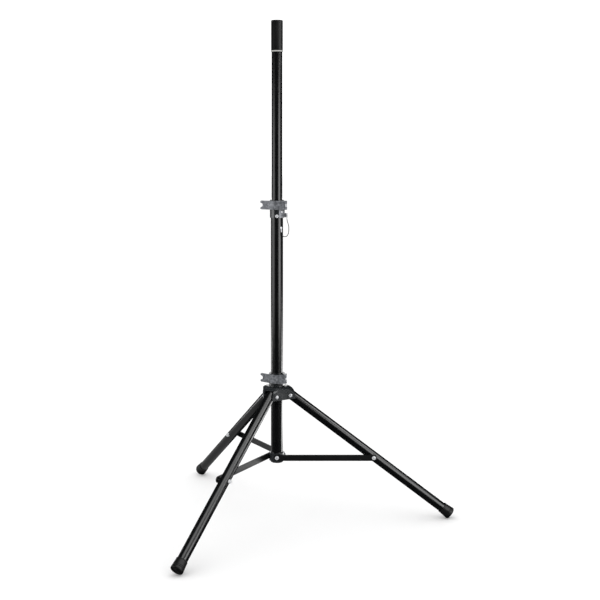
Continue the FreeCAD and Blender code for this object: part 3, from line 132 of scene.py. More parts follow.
class Graph:
    """The node tree of one material."""

    def __init__(self, material: bpy.types.Material) -> None:
        """Empty the material's tree and give it a Principled shader."""
        material.use_nodes = True
        self.tree = material.node_tree
        self.tree.nodes.clear()
        output = self.tree.nodes.new("ShaderNodeOutputMaterial")
        self.shader = self.tree.nodes.new("ShaderNodeBsdfPrincipled")
        self.tree.links.new(self.shader.outputs[0], output.inputs["Surface"])

    def node(self, kind: str, settings: dict, inputs: dict, output: object = 0) -> Signal:
        """Add a node.

        Args:
            kind: Blender's type name of the node.
            settings: properties, set before the sockets.
            inputs: socket name or index, with a Signal or a constant.
            output: name or index of the socket that is returned.

        Returns:
            The chosen output.
        """
        made = self.tree.nodes.new(kind)
        for name, value in settings.items():
            setattr(made, name, value)
        for name, value in inputs.items():
            self.feed(made.inputs[name], value)
        return Signal(self, made.outputs[output])

    def feed(self, socket: bpy.types.NodeSocket, value: object) -> None:
        """Link a Signal to a socket, or set the socket to a constant."""
        if isinstance(value, Signal):
            self.tree.links.new(value.socket, socket)
        elif isinstance(value, tuple) and len(value) == 3 and socket.type == "RGBA":
            socket.default_value = (*value, 1)
        else:
            socket.default_value = value

    def place(self, scale: tuple[float, float, float] = (1, 1, 1)) -> Signal:
        """Object coordinates, stretched by a scale."""
        coordinates = self.node("ShaderNodeTexCoord", {}, {}, "Object")
        if scale == (1, 1, 1):
            return coordinates
        return self.node("ShaderNodeMapping", {}, {"Vector": coordinates, "Scale": scale})

    def noise(self, grain: float, detail: float = 2.0, stretch: tuple = (1, 1, 1)) -> Signal:
        """Soft noise whose features are about as large as the grain, in metres."""
        inputs = {"Vector": self.place(stretch), "Scale": 1 / grain, "Detail": detail}
        return self.node("ShaderNodeTexNoise", {}, inputs)

    def cells(self, grain: float) -> Signal:
        """Distance to the nearest of scattered points about a grain apart, 0 to 1."""
        inputs = {"Vector": self.place(), "Scale": 1 / grain}
        return self.node("ShaderNodeTexVoronoi", {}, inputs, "Distance")

    def blend(self, share: Signal, first: object, second: object) -> Signal:
        """Mix two colours."""
        inputs = {0: share, 6: first, 7: second}
        return self.node("ShaderNodeMix", {"data_type": "RGBA"}, inputs, 2)

    def relief(self, height: Signal, depth: float) -> None:
        """Bump the surface by a height from 0 to 1 that stands for a depth in metres."""
        bump = self.node("ShaderNodeBump", {}, {"Height": height, "Distance": depth}, "Normal")
        self.feed(self.shader.inputs["Normal"], bump)


# -------- finishes

class Texture(Enum):
    """How a surface's fine texture is made."""

    ORANGE_PEEL = "orange_peel"
    SAND_CAST = "sand_cast"
    HAMMERED = "hammered"
    MOULDED = "moulded"
    RUBBER = "rubber"
    DRAWN = "drawn"


@dataclass(frozen=True)
class Finish:
    """One finish: a colour that varies a little, a sheen and a fine relief."""

    name: str
    slot: str
    colour: Colour
    patch: Colour
    roughness: float
    texture: Texture
    metallic: float = 0.0
    specular: float = 0.5
    coat: float = 0.0
    coat_roughness: float = 0.2
    grain: float = 0.6 * MM
    depth: float = 0.02 * MM
    patch_size: float = 60 * MM
    roughness_spread: float = 0.08
    patch_in_colour: float = 0.7
    patch_in_roughness: float = 0.6

    def material(self) -> bpy.types.Material:
        """The finish as a material, made once."""
        found = bpy.data.materials.get(self.name)
        if found is None:
            found = bpy.data.materials.new(self.name)
            found.diffuse_color = (*self.colour, 1)
            self._paint(Graph(found))
        return found

    def _paint(self, graph: Graph) -> None:
        """Fill the material's tree."""
        sockets = graph.shader.inputs
        sockets["Metallic"].default_value = self.metallic
        sockets["Specular IOR Level"].default_value = self.specular
        sockets["Coat Weight"].default_value = self.coat
        sockets["Coat Roughness"].default_value = self.coat_roughness
        fine, relief = self._fine(graph)
        patches = graph.noise(self.patch_size, 4.0).between(0.35, 0.7)
        tint = patches * self.patch_in_colour + fine * (1 - self.patch_in_colour)
        graph.feed(sockets["Base Color"], graph.blend(tint, self.colour, self.patch))
        unevenness = patches * self.patch_in_roughness + fine * (1 - self.patch_in_roughness)
        spread = (unevenness - 0.5) * (2 * self.roughness_spread)
        graph.feed(sockets["Roughness"], spread + self.roughness)
        graph.relief(relief, self.depth)

    def _fine(self, graph: Graph) -> tuple[Signal, Signal]:
        """The fine texture.

        Args:
            graph: the material's tree.

        Returns:
            A mask from 0 to 1 that tints the surface, and the height of its relief.
        """
        if self.texture is Texture.ORANGE_PEEL:
            peel = graph.noise(self.grain, 1.0)
            return graph.noise(0.4 * self.grain, 2.0).between(0.45, 0.75), peel
        if self.texture is Texture.SAND_CAST:
            sand = graph.noise(self.grain, 3.0)
            pits = 1 - graph.cells(3 * self.grain).between(0.0, 0.35)
            return sand.between(0.3, 0.75), sand * 0.7 - pits * 0.5
        if self.texture is Texture.HAMMERED:
            dimples = graph.cells(self.grain)
            swell = graph.noise(3 * self.grain, 2.0)
            return dimples.between(0.1, 0.8), dimples * 0.6 + swell * 0.4
        if self.texture is Texture.DRAWN:
            lines = graph.noise(self.grain, 3.0, (1, 1, 0.05))
            return lines.between(0.35, 0.7), lines
        if self.texture is Texture.RUBBER:
            dust = graph.noise(12 * self.grain, 5.0).between(0.5, 0.8)
            return dust, graph.noise(self.grain, 2.0)
        spark = graph.noise(self.grain, 2.0)
        return spark.between(0.4, 0.8), spark


BLACK_TUBE = Finish(
    "black_powder_coat", "black_tube", (0.0012, 0.0013, 0.0016), (0.0026, 0.0028, 0.0032), 0.24,
    Texture.ORANGE_PEEL, specular=0.62, grain=0.9 * MM, depth=0.006 * MM, roughness_spread=0.03)
BLACK_BAR = Finish(
    "satin_black_coat", "black_bar", (0.003, 0.0034, 0.0038), (0.006, 0.0066, 0.0072), 0.36,
    Texture.ORANGE_PEEL, grain=0.8 * MM, depth=0.012 * MM, roughness_spread=0.05)
BLACK_CASTING = Finish(
    "textured_black_casting", "black_casting", (0.010, 0.012, 0.0135), (0.026, 0.029, 0.032), 0.28,
    Texture.HAMMERED, specular=0.7, grain=1.6 * MM, depth=0.12 * MM, coat=0.5, coat_roughness=0.16)
SILVER_CASTING = Finish(
    "sand_cast_alloy", "silver_casting", (0.085, 0.09, 0.1), (0.27, 0.28, 0.3), 0.42,
    Texture.SAND_CAST, metallic=0.3, specular=0.4, grain=1.2 * MM, depth=0.15 * MM,
    patch_size=7 * MM, roughness_spread=0.12)
BLACK_PLASTIC = Finish(
    "black_moulding", "black_plastic", (0.0012, 0.0012, 0.0014), (0.0028, 0.0028, 0.003), 0.42,
    Texture.MOULDED, specular=0.3, grain=0.5 * MM, depth=0.015 * MM)
GREY_NYLON = Finish(
    "pale_nylon", "grey_nylon", (0.42, 0.42, 0.4), (0.52, 0.52, 0.5), 0.5,
    Texture.MOULDED, grain=0.7 * MM, depth=0.01 * MM)
RUBBER = Finish(
    "foot_rubber", "rubber_foot", (0.003, 0.003, 0.0034), (0.011, 0.0115, 0.012), 0.5,
    Texture.RUBBER, specular=0.35, grain=0.5 * MM, depth=0.03 * MM, roughness_spread=0.12)
ZINC = Finish(
    "bright_zinc", "zinc_steel", (0.62, 0.63, 0.65), (0.76, 0.77, 0.78), 0.3,
    Texture.DRAWN, metallic=0.3, grain=0.35 * MM, depth=0.004 * MM, patch_size=8 * MM)
CORD_COAT = Finish(
    "wire_coating", "black_cord", (0.0012, 0.0012, 0.0013), (0.003, 0.003, 0.0032), 0.45,
    Texture.MOULDED, specular=0.1, grain=0.4 * MM, depth=0.01 * MM)
FINISHES = {finish.slot: finish for finish in (
    BLACK_TUBE, BLACK_BAR, BLACK_CASTING, SILVER_CASTING, BLACK_PLASTIC, GREY_NYLON, RUBBER, ZINC,
    CORD_COAT)}


# -------- places taken from the frame

def joint(name: str) -> dict:
    """A joint of the frame, by name."""
    return next(item for item in frame["joints"] if item["name"] == name)


def centre(node: str) -> Vector:
    """Middle of a CAD node's box."""
    low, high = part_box(node)
    return (low + high) / 2


def about_mast(number: int) -> Matrix:
    """The turn about the mast that takes leg 1 to another leg."""
    return Matrix.Rotation((number - 1) * LEG_STEP, 4, "Z")


def seen_from(node: str, place: Matrix) -> tuple[Vector, Vector]:
    """The box of a CAD node in another frame.

    Args:
        node: name of the node.
        place: the frame, as a matrix to the stand's own.

    Returns:
        Lowest and highest corners in that frame.
    """
    back = place.inverted()
    points = [back @ vertex.co for vertex in frame["nodes"][node].data.vertices]
    low = Vector(min(point[axis] for point in points) for axis in range(3))
    high = Vector(max(point[axis] for point in points) for axis in range(3))
    return low, high


def along_leg(number: int) -> Matrix:
    """Frame of a leg: origin on its hub pivot, Z down the leg, Y along the pivot bolt."""
    pivot = Vector(joint("leg_fold_1")["pos_m"])
    reach = centre("brace_bolt_1")
    slope = math.atan2(pivot.z - reach.z, reach.x - pivot.x)
    turned = Matrix.Translation(pivot) @ Matrix.Rotation(math.pi / 2 + slope, 4, "Y")
    return about_mast(number) @ turned


def facing(origin: Vector, direction: Vector) -> Matrix:
    """A frame whose Z points along a direction."""
    return Matrix.Translation(origin) @ direction.to_track_quat("Z", "X").to_matrix().to_4x4()


# -------- shells and pieces

class Shell:
    """One closed skin under construction."""

    def __init__(self) -> None:
        """Start empty."""
        self.mesh = bmesh.new()

    @classmethod
    def spun(cls, profile: Profile, ring: bool = False, steps: int = 40) -> "Shell":
        """Turn a profile about Z.

        Args:
            profile: radius and height of each corner.
            ring: whether the profile closes on itself, as round a bore.
            steps: faces round the turn.

        Returns:
            The shell.
        """
        shell = cls()
        verts = [shell.mesh.verts.new((radius, 0, height)) for radius, height in profile]
        pairs = list(zip(verts, verts[1:]))
        if ring:
            pairs.append((verts[-1], verts[0]))
        edges = [shell.mesh.edges.new(pair) for pair in pairs]
        bmesh.ops.spin(shell.mesh, geom=verts + edges, cent=(0, 0, 0), axis=(0, 0, 1),
                       dvec=(0, 0, 0), angle=2 * math.pi, steps=steps, use_merge=True,
                       use_duplicate=False)
        return shell.joined()

    @classmethod
    def prism(cls, outline: Iterable[tuple[float, float]], height: float) -> "Shell":
        """Pull an outline in the XY plane up by a height."""
        shell = cls()
        verts = [shell.mesh.verts.new((x, y, 0)) for x, y in outline]
        face = shell.mesh.faces.new(verts)
        pulled = bmesh.ops.extrude_face_region(shell.mesh, geom=[face])["geom"]
        tops = [item for item in pulled if isinstance(item, bmesh.types.BMVert)]
        bmesh.ops.translate(shell.mesh, verts=tops, vec=(0, 0, height))
        return shell.joined()

    @classmethod
    def block(cls, low: Vector, high: Vector) -> "Shell":
        """A box between two corners."""
        shell = cls()
        bmesh.ops.create_cube(shell.mesh, size=1)
        size = high - low
        bmesh.ops.scale(shell.mesh, vec=size, verts=shell.mesh.verts)
        bmesh.ops.translate(shell.mesh, vec=(low + high) / 2, verts=shell.mesh.verts)
        return shell

    @classmethod
    def of_node(cls, node: str) -> "Shell":
        """A merged copy of a CAD node, its flat faces made whole."""
        shell = cls()
        shell.mesh.from_mesh(frame["nodes"][node].data)
        bmesh.ops.remove_doubles(shell.mesh, verts=shell.mesh.verts, dist=2 * MERGE)
        bmesh.ops.dissolve_limit(shell.mesh, angle_limit=math.radians(0.5), verts=shell.mesh.verts,
                                 edges=shell.mesh.edges, use_dissolve_boundaries=False)
        return shell

    def joined(self) -> "Shell":
        """Close the seam and the poles, and turn every face outwards."""
        bmesh.ops.remove_doubles(self.mesh, verts=self.mesh.verts, dist=MERGE)
        bmesh.ops.recalc_face_normals(self.mesh, faces=self.mesh.faces)
        return self

    def soften(self, width: float, segments: int = 2, sharper: float = 35) -> "Shell":
        """Round the edges that turn by more than an angle in degrees."""
        limit = math.radians(sharper)
        edges = [edge for edge in self.mesh.edges
                 if len(edge.link_faces) == 2 and edge.calc_face_angle(0) > limit]
        bmesh.ops.bevel(self.mesh, geom=edges, offset=width, offset_type="OFFSET", affect="EDGES",
                        segments=segments, profile=0.5, material=-1, clamp_overlap=True)
        return self

    def cut_across(self, origin: Vector, normal: Vector) -> "Shell":
        """Add an edge loop where a plane crosses the shell."""
        geometry = [*self.mesh.verts, *self.mesh.edges, *self.mesh.faces]
        bmesh.ops.bisect_plane(self.mesh, geom=geometry, dist=MERGE / 10, plane_co=origin,
                               plane_no=normal)
        return self

    def recess(self, face: bmesh.types.BMFace, rim: float, depth: float) -> None:
        """Sink a face, leaving a rim round it.

        Args:
            face: the face to sink.
            rim: width of the rim.
            depth: how far the face goes in; the wall slopes by a quarter of that.
        """
        bmesh.ops.inset_region(self.mesh, faces=[face], thickness=rim, use_even_offset=True)
        bmesh.ops.inset_region(self.mesh, faces=[face], thickness=depth / 4, depth=-depth,
                               use_even_offset=True)

    def placed(self, place: Matrix) -> "Shell":
        """Move the shell."""
        bmesh.ops.transform(self.mesh, matrix=place, verts=self.mesh.verts)
        return self


class Piece:
    """Shells that make one visible piece."""

    def __init__(self, name: str, finish: Finish) -> None:
        """Start with a name and a finish."""
        self.name = name
        self.finish = finish
        self.shells: list[Shell] = []

    def add(self, *shells: Shell) -> "Piece":
        """Take in more shells."""
        self.shells.extend(shells)
        return self

    def finish_on(self, body: str, *nodes: str) -> None:
        """Make the object and let it ride.

        Args:
            body: the CAD body that carries it.
            *nodes: the CAD nodes that it stands for.
        """
        whole = bmesh.new()
        for shell in self.shells:
            part = bpy.data.meshes.new("part")
            shell.mesh.to_mesh(part)
            whole.from_mesh(part)
            shell.mesh.free()
            bpy.data.meshes.remove(part)
        mesh = bpy.data.meshes.new(self.name)
        whole.to_mesh(mesh)
        whole.free()
        mesh.materials.append(self.finish.material())
        mesh.shade_smooth()
        mesh.set_sharp_from_angle(angle=CREASE)
        made = bpy.data.objects.new(self.name, mesh)
        bpy.context.scene.collection.objects.link(made)
        weighted = made.modifiers.new("weighted_normals", "WEIGHTED_NORMAL")
        weighted.keep_sharp = True
        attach(made, body)
        if nodes:
            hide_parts(*nodes)
        LOG.info("%s: %d faces on %s", self.name, len(mesh.polygons), body)


# -------- fasteners

@dataclass
class Fasteners:
    """Screws, nuts, washers and rivets, drawn along Z from their seat."""

    sides: int = 24
    chamfer: float = 0.5 * MM
    crown: float = 0.5
    socket: float = 0.3
    head_wall: float = 0.35
    collar_width: float = 0.72
    collar_rise: float = 0.12
    thread_pitch: float = 1.0 * MM
    thread_root: float = 0.9
    thread_tip: float = 0.8

    def socket_head(self, radius: float, height: float) -> Shell:
        """A button head: domed, with a hexagonal socket.

        Args:
            radius: of the head.
            height: of the head above its seat.

        Returns:
            The head, standing on Z = 0.
        """
        crown_radius = self.crown * radius
        steps = 5
        profile = [(0, 0), (radius - self.chamfer / 2, 0), (radius, self.chamfer / 2),
                   (radius, self.head_wall * height)]
        for step in range(1, steps + 1):
            angle = step / steps * math.pi / 2
            rise = self.head_wall + (1 - self.head_wall) * math.sin(angle)
            profile.append((crown_radius + (radius - crown_radius) * math.cos(angle), rise * height))
        shell = Shell.spun([*profile, (0, height)], steps=self.sides)
        top = [face for face in shell.mesh.faces
               if face.calc_center_median().z > height - 0.01 * MM]
        crown = bmesh.ops.dissolve_faces(shell.mesh, faces=top)["region"][0]
        bmesh.ops.inset_region(shell.mesh, faces=[crown], thickness=0.1 * radius)
        across = self.socket * radius
        sector = math.pi / 3
        for vert in crown.verts:
            angle = math.atan2(vert.co.y, vert.co.x)
            from_flat = (angle + math.pi) % sector - sector / 2
            reach = across / math.cos(from_flat)
            vert.co.x = reach * math.cos(angle)
            vert.co.y = reach * math.sin(angle)
        bmesh.ops.inset_region(shell.mesh, faces=[crown], thickness=self.chamfer / 4,
                               depth=-0.5 * height)
        return shell

    def domed_head(self, radius: float, height: float) -> Shell:
        """A low dome, as on a rivet or a button screw."""
        steps = 6
        dome = [(radius * math.cos(step / steps * math.pi / 2),
                 height * (0.25 + 0.75 * math.sin(step / steps * math.pi / 2)))
                for step in range(steps)]
        return Shell.spun([(0, 0), (radius, 0), *dome, (0, height)], steps=self.sides)

    def hex_nut(self, across: float, height: float, thread: float) -> Shell:
        """A lock nut: a hexagon with eased corners, its collar and the end of the thread."""
        shell = Shell()
        bmesh.ops.create_cone(shell.mesh, cap_ends=True, segments=6, radius1=across, radius2=across,
                              depth=height)
        bmesh.ops.translate(shell.mesh, verts=shell.mesh.verts, vec=(0, 0, height / 2))
        shell.soften(self.chamfer, 3)
        top = max(shell.mesh.faces, key=lambda face: face.calc_center_median().z)
        bmesh.ops.inset_region(shell.mesh, faces=[top], thickness=across * 0.1)
        ring = bmesh.ops.extrude_face_region(shell.mesh, geom=[top])["geom"]
        raised = [item for item in ring if isinstance(item, bmesh.types.BMVert)]
        for vert in raised:
            angle = math.atan2(vert.co.y, vert.co.x)
            vert.co.x = self.collar_width * across * math.cos(angle)
            vert.co.y = self.collar_width * across * math.sin(angle)
        bmesh.ops.translate(shell.mesh, verts=raised, vec=(0, 0, self.collar_rise * height))
        crown = max(shell.mesh.faces, key=lambda face: face.calc_center_median().z)
        lip = max(0.1 * MM, 0.7 * across - thread)
        bmesh.ops.inset_region(shell.mesh, faces=[crown], thickness=lip)
        return shell.joined()

    def thread_end(self, radius: float, length: float) -> Shell:
        """The end of a screw with its thread drawn as close rings."""
        rings = max(1, int(length / self.thread_pitch))
        profile = [(0, 0), (radius, 0)]
        for turn in range(rings):
            profile.append((self.thread_root * radius, (turn + 0.5) * self.thread_pitch))
            profile.append((radius, (turn + 1.0) * self.thread_pitch))
        profile[-1] = (self.thread_tip * radius, length)
        return Shell.spun([*profile, (0, length)], steps=self.sides)

    def washer(self, radius: float, bore: float, thick: float) -> Shell:
        """A flat ring with eased edges."""
        ring = [(bore, 0), (radius, 0), (radius, thick), (bore, thick)]
        return Shell.spun(ring, ring=True, steps=self.sides).soften(thick / 5)


# -------- studio

def lamp(name: str, place: Matrix, wide: float, tall: float, power: float) -> None:
    """Make a flat rectangular light that gloss mirrors and matt surfaces ignore.

    Args:
        name: of the light.
        place: its frame; it shines against its Z.
        wide: size along its X.
        tall: size along its Y.
        power: in watts.
    """
    data = bpy.data.lights.new(name, "AREA")
    data.shape = "RECTANGLE"
    data.size = wide
    data.size_y = tall
    data.energy = power
    made = bpy.data.objects.new(name, data)
    made.matrix_world = place
    made.visible_diffuse = False
    made.visible_camera = False
    bpy.context.scene.collection.objects.link(made)


@dataclass
class StandingBox:
    """An upright light that faces the mast, at degrees from the camera's side towards +X."""

    name: str
    azimuth: float
    low: float
    high: float
    width: float
    power: float
    distance: float = 2.4

    def hang(self) -> None:
        """Make the light."""
        turn = math.radians(self.azimuth)
        out = Vector((math.sin(turn), -math.cos(turn), 0))
        middle = out * self.distance + Z_UP * (self.low + self.high) / 2
        aim = out.to_track_quat("Z", "Y").to_matrix().to_4x4()
        lamp(self.name, Matrix.Translation(middle) @ aim, self.width, self.high - self.low, self.power)


@dataclass
class LyingBox:
    """A light that shines along a direction, from overhead or from the floor."""

    name: str
    middle: Vector
    back: Vector
    wide: float
    power: float
    deep: float = 1.6

    def hang(self) -> None:
        """Make the light."""
        aim = self.back.to_track_quat("Z", "Y").to_matrix().to_4x4()
        lamp(self.name, Matrix.Translation(self.middle) @ aim, self.wide, self.deep, self.power)


@dataclass
class Studio:
    """Pale floor and backdrop, soft boxes and the camera."""

    distance: float = 3.522
    eye_height: float = 1.206
    pitch: float = math.radians(4.47)
    lens: float = 64.74
    aside: float = 0.0384
    lift: float = -0.1
    sensor: float = 36.0
    floor_radius: float = 60.0
    backdrop: float = 1.25
    backdrop_mirrored: float = 0.03
    overhead: Vector = field(default_factory=lambda: Vector((0.5, -0.9, 2.7)))
    boxes: list[StandingBox] = field(default_factory=lambda: [
        StandingBox("left_box", -74, 0.25, 1.5, 2.4, 18),
        StandingBox("right_box", 52, 0.25, 1.55, 1.7, 28),
        StandingBox("right_brace_box", 118, 0.0, 0.3, 1.2, 5, distance=2.2),
        StandingBox("left_brace_box", -118, 0.0, 0.3, 1.2, 4, distance=2.2),
        StandingBox("right_high_box", 74, 1.9, 2.9, 1.6, 26, distance=2.6),
        StandingBox("back_box", 180, 0.4, 1.6, 0.7, 4, distance=3.4),
    ])

    def camera(self) -> None:
        """Set up the camera in front of the stand."""
        data = bpy.data.cameras.new("camera")
        data.lens = self.lens
        data.sensor_width = self.sensor
        data.shift_x = self.aside
        data.shift_y = self.lift
        eye = bpy.data.objects.new("camera", data)
        eye.location = (0, -self.distance, self.eye_height)
        eye.rotation_euler = (math.pi / 2 - self.pitch, 0, 0)
        bpy.context.scene.collection.objects.link(eye)
        bpy.context.scene.camera = eye

    def floor(self) -> None:
        """A wide pale floor with a faint grain."""
        shell = Shell()
        bmesh.ops.create_circle(shell.mesh, cap_ends=True, segments=96, radius=self.floor_radius)
        mesh = bpy.data.meshes.new("floor")
        shell.mesh.to_mesh(mesh)
        shell.mesh.free()
        material = bpy.data.materials.new("pale_floor")
        graph = Graph(material)
        grain = graph.noise(3 * MM, 3.0)
        graph.feed(graph.shader.inputs["Base Color"],
                   graph.blend(grain, (0.86, 0.86, 0.86), (0.9, 0.9, 0.9)))
        graph.shader.inputs["Roughness"].default_value = 0.9
        graph.shader.inputs["Specular IOR Level"].default_value = 0.1
        graph.relief(grain, 0.02 * MM)
        mesh.materials.append(material)
        made = bpy.data.objects.new("floor", mesh)
        made.visible_glossy = False
        bpy.context.scene.collection.objects.link(made)

    def surround(self) -> None:
        """A plain pale backdrop that is seen and lights softly, and is dim in reflections."""
        world = bpy.data.worlds.new("studio")
        world.use_nodes = True
        tree = world.node_tree
        tree.nodes.clear()
        output = tree.nodes.new("ShaderNodeOutputWorld")
        mix = tree.nodes.new("ShaderNodeMixShader")
        pale = tree.nodes.new("ShaderNodeBackground")
        dim = tree.nodes.new("ShaderNodeBackground")
        path = tree.nodes.new("ShaderNodeLightPath")
        pale.inputs["Color"].default_value = (1, 1, 1, 1)
        pale.inputs["Strength"].default_value = self.backdrop
        dim.inputs["Color"].default_value = (0.86, 0.93, 1.0, 1)
        dim.inputs["Strength"].default_value = self.backdrop_mirrored
        tree.links.new(path.outputs["Is Glossy Ray"], mix.inputs["Fac"])
        tree.links.new(pale.outputs[0], mix.inputs[1])
        tree.links.new(dim.outputs[0], mix.inputs[2])
        tree.links.new(mix.outputs[0], output.inputs["Surface"])
        bpy.context.scene.world = world

    def lying_boxes(self) -> list[LyingBox]:
        """A box overhead, and two on the floor that the rear leg and the front brace mirror."""
        return [LyingBox("top_box", self.overhead, self.overhead, 2.6, 34),
                LyingBox("rear_floor_box", Vector((-0.95, 0.95, 0.02)), -Z_UP, 1.6, 2.5),
                LyingBox("right_floor_box", Vector((1.4, 0.9, 0.02)), -Z_UP, 1.6, 50)]

    def build(self) -> None:
        """Make the camera, the lights and the surroundings."""
        self.camera()
        self.floor()
        self.surround()
        for box in (*self.boxes, *self.lying_boxes()):
            box.hang()
        bpy.context.scene.view_settings.view_transform = "Standard"


# -------- lanyard

@dataclass
class Lanyard:
    """Coated wire between the mast's rivet and the safety pin."""

    diameter: float = 2.4 * MM
    smooth_steps: int = 12
    route: Sequence[tuple[float, float, float]] = (
        (0.014334, -0.017083, 0.9578),
        (0.014334, -0.017083, 0.9510),
        (0.0186, -0.0186, 0.9446),
        (0.0260, -0.0176, 0.9419),
        (0.0350, -0.0128, 0.9456),
        (0.0388, -0.0068, 0.9595),
        (0.0389, -0.0032, 0.9740),
        (0.0364, -0.0008, 0.9855),
        (0.0332, 0.0, 0.9920),
        (0.0332, 0.0, 0.9980),
    )

    def _spline(self, thickness: float) -> bpy.types.Object:
        """The route as a smooth curve of a given thickness."""
        data = bpy.data.curves.new("lanyard_route", "CURVE")
        data.dimensions = "3D"
        data.resolution_u = self.smooth_steps
        data.bevel_depth = thickness / 2
        data.bevel_resolution = 4
        data.use_fill_caps = True
        spline = data.splines.new("NURBS")
        spline.points.add(len(self.route) - 1)
        for point, place in zip(spline.points, self.route):
            point.co = (*place, 1)
        spline.order_u = 3
        spline.use_endpoint_u = True
        made = bpy.data.objects.new("lanyard_route", data)
        bpy.context.scene.collection.objects.link(made)
        return made

    def _mesh(self, thickness: float) -> bpy.types.Mesh:
        """A mesh read from the curve: its line alone where the thickness is 0."""
        curve = self._spline(thickness)
        bpy.context.view_layer.update()
        mesh = bpy.data.meshes.new_from_object(curve)
        bpy.data.objects.remove(curve)
        return mesh

    def build(self) -> None:
        line = [vertex.co.copy() for vertex in self._mesh(0).vertices]
        mesh = self._mesh(self.diameter)
        mesh.name = "lanyard_wire"
        mesh.materials.clear()
        mesh.materials.append(CORD_COAT.material())
        mesh.shade_smooth()
        wire = bpy.data.objects.new("lanyard_wire", mesh)
        bpy.context.scene.collection.objects.link(wire)
        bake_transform(wire)
        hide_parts("lanyard")


# -------- levers

class Strip:
    """A flat strip's path in plan: straight runs and bends, one after another."""

    def __init__(self, start: Vector, heading: float, runs: Sequence[tuple[float, float]]) -> None:
        """Lay out the path.

        Args:
            start: first point, in plan.
            heading: direction of the first run, in radians from +X.
            runs: length and turn of each run, the turn in radians, to the left.
        """
        self.start = start
        self.heading = heading
        self.runs = runs

    @property
    def length(self) -> float:
        """Length of the whole path."""
        return sum(length for length, _ in self.runs)

    def at(self, distance: float) -> tuple[Vector, Vector]:
        """Point and left-hand normal at a distance along the path.

        Args:
            distance: from the start; the first and last runs go on past their ends.

        Returns:
            The point and the unit normal, in plan.
        """
        point = self.start.copy()
        heading = self.heading
        left = distance
        for number, (length, turn) in enumerate(self.runs):
            last = number == len(self.runs) - 1
            part = left if last else min(left, length)
            bend = turn * part / length
            chord = part if abs(bend) < 1e-9 else 2 * math.sin(bend / 2) * part / bend
            middle = heading + bend / 2
            point += Vector((math.cos(middle), math.sin(middle))) * chord
            heading += bend
            left -= part
            if left <= 0:
                break
        return point, Vector((-math.sin(heading), math.cos(heading)))


